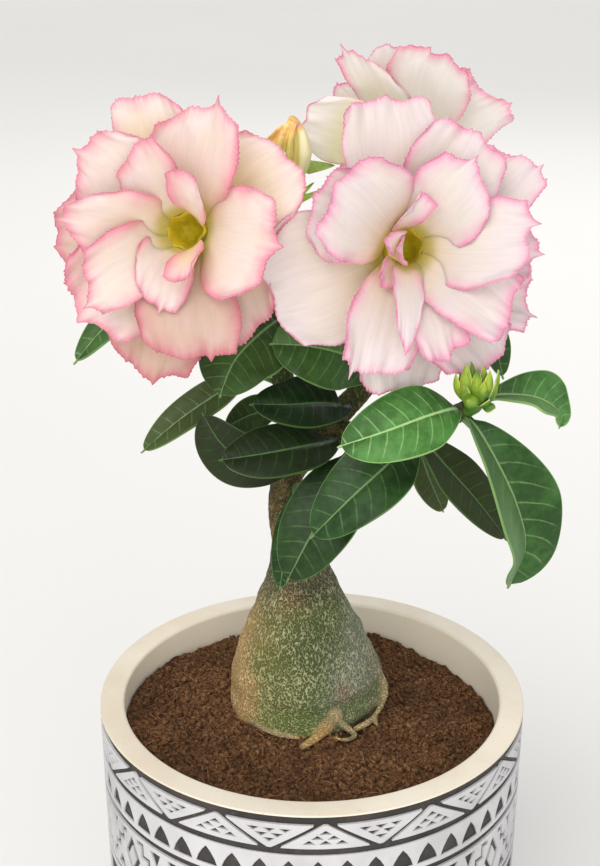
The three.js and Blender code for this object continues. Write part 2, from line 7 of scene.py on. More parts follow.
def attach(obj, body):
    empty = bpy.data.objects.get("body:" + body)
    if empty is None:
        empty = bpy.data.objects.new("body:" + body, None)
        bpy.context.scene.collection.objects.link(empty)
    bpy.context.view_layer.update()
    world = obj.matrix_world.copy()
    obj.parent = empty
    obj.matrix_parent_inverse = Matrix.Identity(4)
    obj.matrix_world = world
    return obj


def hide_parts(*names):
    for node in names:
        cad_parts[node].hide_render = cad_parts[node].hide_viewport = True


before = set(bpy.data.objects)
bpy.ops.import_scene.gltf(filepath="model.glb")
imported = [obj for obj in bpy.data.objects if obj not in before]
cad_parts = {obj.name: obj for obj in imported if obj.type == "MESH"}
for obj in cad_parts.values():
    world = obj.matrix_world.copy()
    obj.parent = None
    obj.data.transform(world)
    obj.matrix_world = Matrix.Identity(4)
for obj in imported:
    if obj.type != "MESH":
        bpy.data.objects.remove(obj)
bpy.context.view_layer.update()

# ------------------------------------------------------------------------------------------------
# Pot body: a straight-walled stoneware planter, slip-cast in one piece with a thick flat rim.
# The rim, the inside and the foot are left in a cream satin glaze.
MM = 0.001
POT_HEIGHT = 125
POT_RADIUS = 70
POT_TAPER = 0.011  # what the wall loses of its radius for each mm below the rim
POT_INSIDE = 62
POT_FLOOR = 9
FOOT_BAND = 113  # depth where the pattern ends and the plain foot band starts
RECESS = 0.85  # how deep the dark ground lies below the raised pattern
POT_SIDES = 160
NEAR_AXIS = 0.01  # a turned outline starts and ends this close to the axis


def wall_radius(depth):
    return POT_RADIUS - POT_TAPER * depth


def only(*pieces):
    bpy.ops.object.select_all(action="DESELECT")
    for piece in pieces:
        piece.select_set(True)
    bpy.context.view_layer.objects.active = pieces[0]


def edit_all(piece):
    only(piece)
    bpy.ops.object.mode_set(mode="EDIT")
    bpy.ops.mesh.select_all(action="SELECT")


def leave_edit():
    bpy.ops.object.mode_set(mode="OBJECT")


def turned(name, outline, steps):
    """A vertex is extruded along the outline (radius and height in mm) and spun round the axis."""
    bpy.ops.object.select_all(action="DESELECT")
    bpy.ops.mesh.primitive_plane_add(size=1)
    piece = bpy.context.object
    piece.name = name
    edit_all(piece)
    bpy.ops.mesh.merge(type="CENTER")
    last = (0, 0)
    for radius, height in outline:
        if last == (0, 0):
            bpy.ops.transform.translate(value=(radius, 0, height))
        else:
            bpy.ops.mesh.extrude_region_move(
                TRANSFORM_OT_translate={"value": (radius - last[0], 0, height - last[1])}
            )
        last = (radius, height)
    bpy.ops.mesh.select_all(action="SELECT")
    bpy.ops.mesh.spin(steps=steps, angle=2 * math.pi, center=(0, 0, 0), axis=(0, 0, 1))
    bpy.ops.mesh.select_all(action="SELECT")
    bpy.ops.mesh.remove_doubles(threshold=1e-3)
    bpy.ops.mesh.normals_make_consistent(inside=False)
    bpy.ops.transform.resize(value=(MM, MM, MM), center_override=(0, 0, 0))
    leave_edit()
    return piece


def soften(piece, angle=40):
    only(piece)
    bpy.ops.object.shade_smooth_by_angle(angle=math.radians(angle))


def paint(code):
    parts = [int(code[k : k + 2], 16) / 255 for k in (0, 2, 4)]
    linear = [((c + 0.055) / 1.055) ** 2.4 if c > 0.04045 else c / 12.92 for c in parts]
    return (*linear, 1.0)


def new_finish(name, **sockets):
    material = bpy.data.materials.new(name)
    material.use_nodes = True
    shader = material.node_tree.nodes["Principled BSDF"]
    for socket, value in sockets.items():
        label = socket.replace("_", " ").title().replace("Ior", "IOR")
        shader.inputs[label].default_value = value
    return material, shader


def step(material, kind, inputs, **settings):
    """Adds one node. Its inputs take a value, or another node's output to link."""
    made = material.node_tree.nodes.new("ShaderNode" + kind)
    for key, value in settings.items():
        setattr(made, key, value)
    for socket, value in inputs.items():
        if isinstance(value, bpy.types.NodeSocket):
            material.node_tree.links.new(value, made.inputs[socket])
        else:
            made.inputs[socket].default_value = value
    return made


def mixed(material, share, first, second, blend="MIX"):
    inputs = {0: share, 6: first, 7: second}
    return step(material, "Mix", inputs, data_type="RGBA", blend_type=blend).outputs[2]


def between(material, share, first, second):
    """From the first paint at 0 to the second at 1."""
    return mixed(material, share, paint(first), paint(second))


def tinted(material, share, colour, code):
    """The colour, covered with a share of a paint."""
    return mixed(material, share, colour, paint(code))


def ramp(material, value, low, high, start=0.0, end=1.0):
    inputs = {"Value": value, "From Min": low, "From Max": high, "To Min": start, "To Max": end}
    return step(material, "MapRange", inputs, interpolation_type="SMOOTHSTEP").outputs[0]


def reckon(material, operation, first, second=0.0):
    return step(material, "Math", {0: first, 1: second}, operation=operation).outputs[0]


def times(material, first, second):
    return reckon(material, "MULTIPLY", first, second)


def cloudy(material, where, scale, detail=3.0, roughness=0.55):
    inputs = {"Vector": where, "Scale": scale, "Detail": detail, "Roughness": roughness}
    return step(material, "TexNoise", inputs).outputs[0]


def on_object(material):
    return step(material, "TexCoord", {}).outputs["Object"]


def wear(material, shader, colour, roughness=None, height=None, distance=0.0002, strength=1.0):
    """Links what has been worked out for the surface to the shader."""
    links = material.node_tree.links
    links.new(colour, shader.inputs["Base Color"])
    if roughness is not None:
        links.new(roughness, shader.inputs["Roughness"])
    if height is not None:
        inputs = {"Height": height, "Distance": distance, "Strength": strength}
        links.new(step(material, "Bump", inputs).outputs[0], shader.inputs["Normal"])


def cream_glaze():
    material, shader = new_finish("cream_glaze", coat_weight=0.12, coat_roughness=0.3)
    where = on_object(material)
    broad = cloudy(material, where, 28, 4)
    fine = cloudy(material, where, 420, 3)
    speck = ramp(material, cloudy(material, where, 900, 1), 0.74, 0.8)
    colour = between(material, ramp(material, broad, 0.3, 0.75), "eae0cc", "deceb5")
    flat = step(material, "VectorMath", {0: where, 1: (1, 1, 0)}, operation="MULTIPLY").outputs[0]
    radius = step(material, "VectorMath", {0: flat}, operation="LENGTH").outputs["Value"]
    # Painted light: the inside wall is tinted lighter, to make up for the shade it lies in.
    inside = ramp(material, radius, 0.0628, 0.0618, 0.0, 0.8)
    colour = tinted(material, inside, colour, "fbf1dc")
    colour = tinted(material, times(material, speck, 0.5), colour, "b59d78")
    wear(material, shader, colour, ramp(material, fine, 0.3, 0.7, 0.42, 0.56), broad, 0.0006, 0.35)
    return material


def arc(centre, radius, start, end, parts):
    """Points along a rounded corner, from one angle to the other."""
    angles = [math.radians(start + (end - start) * k / parts) for k in range(parts + 1)]
    return [(centre[0] + radius * math.cos(a), centre[1] + radius * math.sin(a)) for a in angles]


def at_depth(depth, inset=0.0):
    return (wall_radius(depth) - inset, POT_HEIGHT - depth)


FOOT_ROUND, LIP_ROUND, INNER_ROUND = 5, 0.5, 1.1
BAND_DEPTHS = (90, 60, 30, 0.7)
foot = [(NEAR_AXIS, 0), (40, 0)]
foot += arc((wall_radius(120) - FOOT_ROUND, FOOT_ROUND), FOOT_ROUND, -90, 0, 8)
wall = [at_depth(FOOT_BAND + 0.3), at_depth(FOOT_BAND, RECESS)]
wall += [at_depth(depth, RECESS) for depth in BAND_DEPTHS]
wall += [at_depth(0.62, 0.15), at_depth(0.5)]
lip = arc((POT_RADIUS - LIP_ROUND, POT_HEIGHT - LIP_ROUND), LIP_ROUND, 0, 90, 4)
lip += arc((POT_INSIDE + INNER_ROUND, POT_HEIGHT - INNER_ROUND), INNER_ROUND, 90, 180, 5)
hollow = [(POT_INSIDE - 0.2, 100), (POT_INSIDE - 0.6, 60), (POT_INSIDE - 1, POT_FLOOR + 6)]
hollow += [(POT_INSIDE - 5, POT_FLOOR), (NEAR_AXIS, POT_FLOOR)]
pot = turned("pot_body", foot + wall + lip + hollow, POT_SIDES)
soften(pot)
pot.data.materials.append(cream_glaze())
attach(pot, "root")
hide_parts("pot")

# ------------------------------------------------------------------------------------------------
# Dark ground: a matt charcoal glaze brushed over the outside wall, below the raised pattern.
# It lies as a thin skin on the wall, browner where it is thin.


def dark_glaze():
    material, shader = new_finish("dark_glaze", roughness=0.6)
    where = on_object(material)
    broad = cloudy(material, where, 60, 4)
    fine = cloudy(material, where, 700, 4)
    worn = ramp(material, cloudy(material, where, 160, 5, 0.7), 0.6, 0.72)
    colour = between(material, ramp(material, broad, 0.35, 0.7), "2a2624", "3f3935")
    colour = tinted(material, times(material, worn, 0.45), colour, "7a7169")
    wear(material, shader, colour, ramp(material, fine, 0.3, 0.7, 0.5, 0.75), fine, 0.0002, 0.5)
    return material


skin_depths = (FOOT_BAND, *BAND_DEPTHS)
skin = [at_depth(depth, RECESS - 0.08) for depth in skin_depths]
skin += [at_depth(depth, RECESS + 0.1) for depth in reversed(skin_depths)]
ground = turned("pot_ground", skin + skin[:1], POT_SIDES)
soften(ground)
ground.data.materials.append(dark_glaze())
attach(ground, "root")

# ------------------------------------------------------------------------------------------------
# Raised pattern: bands of triangles, teeth, stepped frets and zigzags, cast with the wall.
# Their flat tops are rubbed to a chalky white and their edges are slightly rounded.
TILE_PAIRS = 13
TEETH = 50
TILE_WIDTH = 26.8
TILE_TOP, TILE_BOTTOM = 3.4, 11.8
WINDOW_WIDTH, WINDOW_HEIGHT = 4.0, 1.45
WINDOW_PITCH, ROW_PITCH = 4.9, 1.75
FIELD_TOP, TOOTH_FOOT, FIELD_BOTTOM = 14.3, 23.1, 24.8
FRET_TOP, FRET_BOTTOM = 27.0, 47.0
ZIGZAG_TOP, ZIGZAG_PITCH, ZIGZAG_RISE, ZIGZAG_THICK = 59.0, 5.6, 5.4, 3.2
RINGS = {"ring_high": (49, 50.8), "ring_low": (74.2, 76)}
STRIP = 3.0  # width of the flat strips that bend round the wall
EDGE_ROUND = 0.22
PATTERN_TURN, TEETH_TURN = 3.0, 1.2


def flat_motif(name, outlines):
    """A flat shape in mm, x along the wall and y the depth. Outlines inside others are windows."""
    drawing = bpy.data.curves.new(name, "CURVE")
    drawing.dimensions = "2D"
    drawing.fill_mode = "BOTH"
    for outline in outlines:
        line = drawing.splines.new("POLY")
        line.points.add(len(outline) - 1)
        line.use_cyclic_u = True
        for point, (x, y) in zip(line.points, outline):
            point.co = (x, y, 0, 1)
    piece = bpy.data.objects.new(name, drawing)
    bpy.context.collection.objects.link(piece)
    only(piece)
    bpy.ops.object.convert(target="MESH")
    return bpy.context.object


def applied(piece, name, kind, **settings):
    """Gives the piece a modifier with these settings and applies it."""
    only(piece)
    modifier = piece.modifiers.new(name, kind)
    for key, value in settings.items():
        setattr(modifier, key, value)
    bpy.ops.object.modifier_apply(modifier=name)


def facing_out(piece):
    """A band that came out with its faces inwards is turned round."""
    outward = 0.0
    for face in piece.data.polygons:
        outward += face.normal.dot(Vector((face.center.x, face.center.y, 0))) * face.area
    if outward < 0:
        edit_all(piece)
        bpy.ops.mesh.flip_normals()
        leave_edit()


def wrapped(name, outlines, copies, turn=0.0):
    """The motif is cut into strips, bent round the wall, spun into a band and thickened."""
    piece = flat_motif(name, outlines)
    reach = max(abs(x) for outline in outlines for x, y in outline)
    edit_all(piece)
    for k in range(-int(reach / STRIP), int(reach / STRIP) + 1):
        bpy.ops.mesh.select_all(action="SELECT")
        bpy.ops.mesh.bisect(plane_co=(k * STRIP, 0, 0), plane_no=(1, 0, 0))
    bpy.ops.mesh.select_all(action="SELECT")
    bpy.ops.mesh.remove_doubles(threshold=1e-3)
    leave_edit()
    for vertex in piece.data.vertices:
        x, depth, _ = vertex.co
        angle = x / wall_radius(0) + math.radians(turn)
        radius, height = at_depth(depth)
        vertex.co = (radius * math.sin(angle), -radius * math.cos(angle), height)
    edit_all(piece)
    sweep = 2 * math.pi * (copies - 1) / copies
    bpy.ops.mesh.spin(steps=copies - 1, dupli=True, angle=sweep, center=(0, 0, 0), axis=(0, 0, 1))
    bpy.ops.mesh.select_all(action="SELECT")
    bpy.ops.mesh.remove_doubles(threshold=0.02)
    leave_edit()
    facing_out(piece)
    applied(piece, "thickness", "SOLIDIFY", thickness=RECESS - 0.02, offset=-1)
    corners = {"limit_method": "ANGLE", "angle_limit": math.radians(50)}
    applied(piece, "edges", "BEVEL", width=EDGE_ROUND, segments=1, **corners)
    edit_all(piece)
    bpy.ops.transform.resize(value=(MM, MM, MM), center_override=(0, 0, 0))
    leave_edit()
    return piece


def flipped(outlines):
    """The same motif upside down, for the lower half of the wall."""
    return [[(x, POT_HEIGHT - y) for x, y in outline] for outline in outlines]


def tile(upright):
    """A triangle with six small triangular windows in three rows."""
    half = TILE_WIDTH / 2
    height = TILE_BOTTOM - TILE_TOP
    shape = [(-half, 0), (half, 0), (half - 0.3, 0.5), (1.4, height - 0.5), (0.6, height)]
    shape += [(-0.6, height), (-1.4, height - 0.5), (-half + 0.3, 0.5)]
    outlines = [shape]
    for row in range(3):
        for k in range(3 - row):
            x = (k - (2 - row) / 2) * WINDOW_PITCH
            y = 1.6 + ROW_PITCH * row
            base = [(x - WINDOW_WIDTH / 2, y), (x + WINDOW_WIDTH / 2, y)]
            outlines.append(base + [(x, y + WINDOW_HEIGHT)])
    if upright:
        return [[(x, TILE_BOTTOM - y) for x, y in outline] for outline in outlines]
    return [[(x, TILE_TOP + y) for x, y in outline] for outline in outlines]


def share_of_wall(copies, top, bottom):
    """A plain rectangle, so wide that its copies close the band."""
    half = math.pi * wall_radius(0) / copies
    return [(-half, top), (half, top), (half, bottom), (-half, bottom)]


def teeth_field():
    tooth = [(-3.8, TOOTH_FOOT), (-2.9, 20.6), (-1.5, 18.2), (0, 16.4)]
    tooth += [(1.5, 18.2), (2.9, 20.6), (3.8, TOOTH_FOOT)]
    return [share_of_wall(TEETH, FIELD_TOP, FIELD_BOTTOM), tooth]


def mirrored(outline):
    return [(-x, y) for x, y in outline]


def fret_field():
    """Windows in a white field: a stepped diamond in the middle, stairs and mounds beside it."""
    diamond = [(0, 29.2), (4.6, 37), (0, 44.8), (-4.6, 37)]
    heart = [(0, 33), (2.2, 37), (0, 41), (-2.2, 37)]
    stair = [(3.2, 28.6), (7.0, 28.6), (7.0, 32.8), (10.2, 32.8), (10.2, 37), (13.4, 37)]
    stair += [(13.4, 41.2), (15.9, 41.2), (15.9, 45.4), (14.3, 45.4), (14.3, 42.8)]
    stair += [(11.8, 42.8), (11.8, 38.6), (8.6, 38.6), (8.6, 34.4), (5.4, 34.4)]
    stair += [(5.4, 30.2), (3.2, 30.2)]
    spear = [(10.4, 28.6), (15.4, 28.6), (13.2, 34.6)]
    mound = [(5.0, 45.4), (11.0, 45.4), (8.0, 41.0)]
    outlines = [share_of_wall(TILE_PAIRS, FRET_TOP, FRET_BOTTOM), diamond, heart]
    for window in (stair, spear, mound):
        outlines += [window, mirrored(window)]
    return outlines


def zigzag(low):
    half = math.pi * wall_radius(0) / (2 * TILE_PAIRS)
    under = low + ZIGZAG_THICK
    line = [(-half, low), (0, low - ZIGZAG_RISE), (half, low)]
    return [line + [(half, under), (0, under - ZIGZAG_RISE), (-half, under)]]


def chalky_white():
    material, shader = new_finish("chalky_white", roughness=0.55)
    where = on_object(material)
    broad = cloudy(material, where, 45, 5)
    fine = cloudy(material, where, 600, 4, 0.65)
    stain = ramp(material, cloudy(material, where, 240, 5, 0.7), 0.58, 0.75)
    colour = between(material, ramp(material, broad, 0.3, 0.75), "cfcecf", "bcbabb")
    colour = tinted(material, times(material, stain, 0.35), colour, "a8a29a")
    wear(material, shader, colour, ramp(material, fine, 0.3, 0.7, 0.45, 0.7), fine, 0.00025, 0.5)
    return material


half_pair = 180 / TILE_PAIRS
bands = [wrapped("tiles_up", tile(True), TILE_PAIRS, PATTERN_TURN)]
bands.append(wrapped("tiles_down", tile(False), TILE_PAIRS, PATTERN_TURN + half_pair))
for name, field, copies, turn in (
    ("teeth", teeth_field(), TEETH, TEETH_TURN),
    ("frets", fret_field(), TILE_PAIRS, 0.0),
):
    bands.append(wrapped(name, field, copies, turn))
    bands.append(wrapped(name + "_low", flipped(field), copies, turn))
for name, (top, bottom) in RINGS.items():
    bands.append(wrapped(name, [share_of_wall(TEETH, top, bottom)], TEETH))
for k in range(3):
    line = zigzag(ZIGZAG_TOP + ZIGZAG_PITCH * k)
    bands.append(wrapped("zigzag_%d" % k, line, 2 * TILE_PAIRS))
only(*bands)
bpy.ops.object.join()
relief = bpy.context.object
relief.name = "pot_relief"
soften(relief, 35)
relief.data.materials.append(chalky_white())
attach(relief, "root")

# ------------------------------------------------------------------------------------------------
# Soil: dark brown peat mix that fills the pot to just under its rim, loose and crumbly on top.
# Crumbs of peat and pale fibres lie on it.
SOIL_TOP = 117
SOIL_RADIUS = 61.4
# Where the soil is heaped up: x, y, the heap's height, and where it starts and stops to fall.
MOUNDS = [(0, 8, 1.6, 26, 46), (25, 50, 3.2, 2, 18), (-27, 50, 2.8, 1, 10)]
CRUMB_NOISE = [(0.28, 3.1, 0.75), (0.7, 8.4, 0.75), (1.7, 1.7, 0.45)]  # scale, layer, height
BED_RINGS, BED_SIDES = 104, 300
SPREAD = 60.0  # crumbs and fibres lie this far out from the middle
BASE_X, BASE_Y, BASE_CLEAR = -2, 8, 24.0  # and this far from the middle of the plant's base
CRUMB_COUNT, CRUMB_SIZES, CRUMB_LIFT = 5600, (0.3, 1.6), 0.15
FIBRE_COUNT, FIBRE_SIZES, FIBRE_LIFT = 2600, (0.8, 3.2), 0.05


def smooth(value, low, high):
    t = min(1, max(0, (value - low) / (high - low)))
    return t * t * (3 - 2 * t)


def soil_height(x, y):
    """The soil falls away to the right and the back, and is heaped up in places."""
    fall = 5.5 * smooth(math.hypot(x + 34, y + 22), 44, 98)
    mound = 0.0
    for middle_x, middle_y, rise, near, far in MOUNDS:
        mound += rise * (1 - smooth(math.hypot(x - middle_x, y - middle_y), near, far))
    lumps = 0.5 * math.sin(0.31 * x + 1.3) * math.sin(0.27 * y)
    lumps += 0.35 * math.sin(0.7 * x - 0.5 * y)
    return SOIL_TOP - fall + mound + lumps


def crumbly(x, y):
    """Coarse, medium and fine crumbs, as a height in mm over the soil's own."""
    height = 0.0
    for scale, layer, rise in CRUMB_NOISE:
        height += rise * noise.noise(Vector((x * scale, y * scale, layer)))
    return height - 0.3


bed_foot = POT_FLOOR + 0.05
bed_outline = [(NEAR_AXIS, bed_foot), (56.2, bed_foot), (60.6, POT_FLOOR + 6.8)]
bed_outline += [(k * SOIL_RADIUS / BED_RINGS, SOIL_TOP) for k in range(BED_RINGS, 0, -1)]
bed = turned("soil_bed", bed_outline + [(NEAR_AXIS, SOIL_TOP)], BED_SIDES)
for vertex in bed.data.vertices:
    x, y, z = vertex.co / MM
    if z > SOIL_TOP - 1:
        vertex.co.z = (soil_height(x, y) + crumbly(x, y)) * MM
soften(bed, 80)


def gathered(name, shapes):
    """Several shapes, each with its points in mm and its faces, in one mesh in metres."""
    vertices, faces = [], []
    for points, sides in shapes:
        first = len(vertices)
        vertices += [point * MM for point in points]
        faces += [[first + k for k in side] for side in sides]
    mesh = bpy.data.meshes.new(name)
    mesh.from_pydata(vertices, [], faces)
    piece = bpy.data.objects.new(name, mesh)
    bpy.context.collection.objects.link(piece)
    return piece


def scattered(name, shapes, places):
    """Copies of small shapes, each with its own turn and size."""
    copies = []
    for shape, centre, turn, size in places:
        points, sides = shapes[shape]
        copies.append(([centre + turn @ (point * size) for point in points], sides))
    return gathered(name, copies)


def sleeve_faces(sides, sections):
    """The faces round a row of closed sections with as many points each, and at its two ends."""
    faces = []
    for i in range(sections - 1):
        for j in range(sides):
            a, b = i * sides + j, i * sides + (j + 1) % sides
            faces.append((a, b, b + sides, a + sides))
    faces.append(tuple(range(sides - 1, -1, -1)))
    faces.append(tuple(range((sections - 1) * sides, sections * sides)))
    return faces


def crumb_shapes(count, chance):
    shapes = []
    for _ in range(count):
        bpy.ops.object.select_all(action="DESELECT")
        bpy.ops.mesh.primitive_ico_sphere_add(subdivisions=1, radius=1)
        lump = bpy.context.object
        points = [vertex.co * chance.uniform(0.6, 1.25) for vertex in lump.data.vertices]
        shapes.append((points, [list(face.vertices) for face in lump.data.polygons]))
        bpy.data.objects.remove(lump)
    return shapes


def fibre_shapes(count, chance):
    shapes = []
    for _ in range(count):
        bend, rise = chance.uniform(-0.5, 0.5), chance.uniform(0.05, 0.25)
        points = []
        for k in range(4):
            t = k / 1.5 - 1
            middle = Vector((t, bend * t * t, rise * (1 - t * t)))
            wide = 0.055 * (1.1 - t * t)
            for a in (0, 2.1, 4.2):
                points.append(middle + Vector((0, wide * math.cos(a), wide * math.sin(a))))
        shapes.append((points, sleeve_faces(3, 4)))
    return shapes


def on_soil(chance):
    """A random place on the soil that stays clear of the plant's base."""
    while True:
        x, y = chance.uniform(-SPREAD, SPREAD), chance.uniform(-SPREAD, SPREAD)
        if math.hypot(x, y) < SPREAD and math.hypot(x - BASE_X, y - BASE_Y) > BASE_CLEAR:
            return x, y


def strewn(chance, count, kinds, sizes, lift):
    """Places for copies of small shapes, with more small ones than large ones."""
    places = []
    low, high = sizes
    for _ in range(count):
        x, y = on_soil(chance)
        size = low + (high - low) * chance.random() ** 2.2
        if math.hypot(x, y) + size > SOIL_RADIUS - 0.2:
            continue
        centre = Vector((x, y, soil_height(x, y) + crumbly(x, y) + lift * size))
        tilts = [chance.uniform(-0.5, 0.5) for _ in range(2)]
        turn = Euler((*tilts, chance.uniform(0, 6.28)))
        places.append((chance.randrange(kinds), centre, turn.to_matrix(), size))
    return places


def dimmed(material, colour, factor):
    return mixed(material, 1.0, colour, factor, "MULTIPLY")


def peat(name, dark, light, fleck):
    """Fine grains from dark to light with paler flecks, shaded in broad patches."""
    material, shader = new_finish(name, roughness=0.95, specular_ior_level=0.15)
    where = on_object(material)
    patches = cloudy(material, where, 55, 3)
    grains = cloudy(material, where, 900, 5, 0.7)
    bright = ramp(material, cloudy(material, where, 620, 4, 0.75), 0.56, 0.72)
    colour = between(material, ramp(material, grains, 0.38, 0.64), dark, light)
    colour = tinted(material, times(material, bright, 0.7), colour, fleck)
    shade = ramp(material, patches, 0.3, 0.7, 0.72, 1.12)
    colour = dimmed(material, colour, shade)
    wear(material, shader, colour, None, grains, 0.0006, 0.9)
    return material


soil_chance = random.Random(7)
bed.data.materials.append(peat("peat", "3f281a", "7b5639", "ab875e"))
crumb_kinds = crumb_shapes(6, soil_chance)
crumb_places = strewn(soil_chance, CRUMB_COUNT, len(crumb_kinds), CRUMB_SIZES, CRUMB_LIFT)
crumbs = scattered("soil_crumbs", crumb_kinds, crumb_places)
crumbs.data.materials.append(peat("peat_crumbs", "462d1d", "84603f", "b48f66"))
fibre_kinds = fibre_shapes(8, soil_chance)
fibre_places = strewn(soil_chance, FIBRE_COUNT, len(fibre_kinds), FIBRE_SIZES, FIBRE_LIFT)
fibres = scattered("soil_fibres", fibre_kinds, fibre_places)
fibres.data.materials.append(peat("peat_fibres", "7d573a", "a37856", "c09a72"))
for piece in (bed, crumbs, fibres):
    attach(piece, "root")
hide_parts("soil")

# ------------------------------------------------------------------------------------------------
# Trunk: the swollen base (caudex), the stem, three branches and the roots that show at the soil.
# It grew as one body. Its thin bark has a fine net of pale ridges over dark pits, and is green in
# front, grey and tan at the sides and brown on the stem.
FORK = Vector((-2, 6, 209))
BARK_GRAIN = 0.66  # size of the skin's faces


def smooth_curve(points):
    """A curve through the points, as a function of 0 to 1, that doesn't overshoot between them."""
    points = [Vector(p) for p in points]
    before = points[0] * 2 - points[1]
    after = points[-1] * 2 - points[-2]
    line = [before] + points + [after]

    def place(t):
        whole = (len(points) - 1) * min(max(t, 0), 1)
        k = min(int(whole), len(points) - 2)
        w = whole - k
        p0, p1, p2, p3 = line[k : k + 4]
        d0, d1, d2 = [(b - a).length ** 0.5 for a, b in ((p0, p1), (p1, p2), (p2, p3))]
        t1 = ((p1 - p0) / d0 - (p2 - p0) / (d0 + d1) + (p2 - p1) / d1) * d1
        t2 = ((p2 - p1) / d1 - (p3 - p1) / (d1 + d2) + (p3 - p2) / d2) * d1
        square = p2 * 3 - p1 * 3 - t1 * 2 - t2
        cube = p1 * 2 - p2 * 2 + t1 + t2
        return p1 + t1 * w + square * w**2 + cube * w**3

    return place


def direction(place, t):
    return (place(min(t + 1e-3, 1)) - place(max(t - 1e-3, 0))).normalized()


def limb_parts(points, radii, sides, steps, swell=lambda z, angle: 1):
    """Round sections along a smooth curve, closed at both ends: vertices in mm and faces."""
    place = smooth_curve(points)
    vertices = []
    across = Vector((1, 0, 0))
    for i in range(steps + 1):
        t = i / steps
        whole = t * (len(points) - 1)
        k = min(int(whole), len(points) - 2)
        radius = radii[k] + (radii[k + 1] - radii[k]) * (whole - k)
        along = direction(place, t)
        across = (across - along * across.dot(along)).normalized()
        third = along.cross(across)
        middle = place(t)
        for j in range(sides):
            angle = 2 * math.pi * j / sides
            size = radius * swell(middle.z, angle)
            vertices.append(middle + (across * math.cos(angle) + third * math.sin(angle)) * size)
    return vertices, sleeve_faces(sides, steps + 1)


def fused(piece, voxel, passes):
    """Joins limbs that run into each other into one skin, as they grew."""
    applied(piece, "skin", "REMESH", mode="VOXEL", voxel_size=voxel * MM)
    applied(piece, "calm", "SMOOTH", factor=0.5, iterations=passes)


def caudex_swell(z, angle):
    """The base is a little lobed, most of all near the soil, and faintly ringed."""
    low = 1 - smooth(z, 118, 160)
    lobes = 0.035 * math.sin(3 * angle + 0.6) + 0.03 * math.sin(5 * angle + 2.2)
    return 1 + low * lobes + 0.012 * math.sin(0.75 * z + angle)


caudex = [(-2, 8, 98), (-2, 8, 104), (-2, 8, 112), (-2.3, 8, 119), (-2.8, 8, 130)]
caudex += [(-3.2, 8, 142), (-3.6, 8, 153), (-4.2, 8, 164), (-6.4, 8, 176), (-9, 8, 190)]
caudex += [(-7, 7, 202), FORK]
caudex_radii = [9, 18, 24.5, 26.3, 24.8, 20.6, 15.9, 11, 6.8, 5.1, 4.8, 5.2]
branch_left = [FORK, (-7, 9, 222), (-10, 9, 238), (-10, 10, 256)]
branch_right = [FORK, (8, 9, 220), (18, 11, 232), (22, 12, 250)]
branch_front = [(2, 6, 214), (16, -2, 219), (30, -17, 227), (40, -32, 236), (44, -36, 240)]
root_front = [(8, -13, 125.5), (5.5, -17.8, 122.8), (1.5, -21.0, 120.4), (-4, -24.5, 118.2)]
root_curl = [(7.5, -15.5, 123.4), (12, -17.2, 120.8), (14, -19.6, 119.8)]
root_curl += [(10.5, -21.2, 119.4), (6, -19.6, 119.6)]
root_side = [(22.6, 4, 130), (24.5, 0.5, 124.5), (23.2, -3.5, 121.4)]
root_side += [(21.2, -7, 120.2), (21.3, -12, 118.6)]
root_base = [(22.4, -5, 120.6), (18.8, -11, 119.9), (13.8, -15.6, 119.5)]
dry_skin = [(-21.8, -8.5, 120.8), (-17.2, -13.8, 119.5), (-9.7, -18.4, 119.0), (-3, -20, 118.7)]
scar = [(-8, -3.6, 162.8), (-6, -4.5, 161.4), (-3, -4.8, 161.0), (0.5, -4.2, 162.2)]
ROOTS = [
    (root_front, [2.7, 2.0, 1.6, 1.4]),
    (root_curl, [1.2, 1.0, 0.9, 0.8, 0.6]),
    (root_side, [1.3, 1.2, 1.05, 0.9, 0.7]),
    (root_base, [1.0, 1.0, 0.8]),
    (dry_skin, [0.5, 0.7, 0.7, 0.5]),
]
limbs = [
    limb_parts(caudex, caudex_radii, 48, 88, caudex_swell),
    limb_parts(branch_left, [4.6, 3.9, 3.4, 3.0], 20, 24),
    limb_parts(branch_right, [4.6, 4.0, 3.5, 3.0], 20, 24),
    limb_parts(branch_front, [4.0, 3.6, 3.2, 2.9, 2.6], 20, 32),
    limb_parts(scar, [0.4, 0.7, 0.7, 0.4], 10, 16),
]
limbs += [limb_parts(points, radii, 14, 28) for points, radii in ROOTS]
trunk = gathered("trunk_body", limbs)
fused(trunk, BARK_GRAIN, 3)


def wrinkle(point):
    """How far the bark stands out, in mm: lumps and creases on the base, pits all over."""
    x, y, z = point
    bulk = 1 - smooth(z, 172, 192)
    lumps = noise.noise(Vector((x * 0.11, y * 0.11, z * 0.16)))
    creases = noise.noise(Vector((x * 0.10, y * 0.10, z * 0.55)))
    pits = noise.noise(Vector((x * 0.9, y * 0.9, z * 0.7)))
    return bulk * (0.5 * lumps + 0.16 * creases) + 0.14 * pits


root_balls = []
for points, radii in ROOTS:
    line = smooth_curve(points)
    root_balls += [(line(k / 20), radii[round(k / 20 * (len(radii) - 1))]) for k in range(3, 21)]


def rooty(point):
    """1 on a root, 0 on the base."""
    if point.z > 130:
        return 0.0
    return 1 - smooth(min((point - ball).length - radius for ball, radius in root_balls), 0.2, 0.9)


def add_values(piece, name, values):
    """Stores one value on each point of the mesh, for the finish to read."""
    piece.data.attributes.new(name, "FLOAT", "POINT").data.foreach_set("value", values)


skin_normals = [vertex.normal.copy() for vertex in trunk.data.vertices]
for vertex, outward in zip(trunk.data.vertices, skin_normals):
    vertex.co += outward * wrinkle(vertex.co / MM) * MM
add_values(trunk, "rooty", [rooty(vertex.co / MM) for vertex in trunk.data.vertices])
soften(trunk, 60)


def stored(material, name):
    return step(material, "Attribute", {}, attribute_name=name).outputs["Fac"]


def plus(material, first, second):
    return reckon(material, "ADD", first, second)


def minus(material, first, second):
    return reckon(material, "SUBTRACT", first, second)


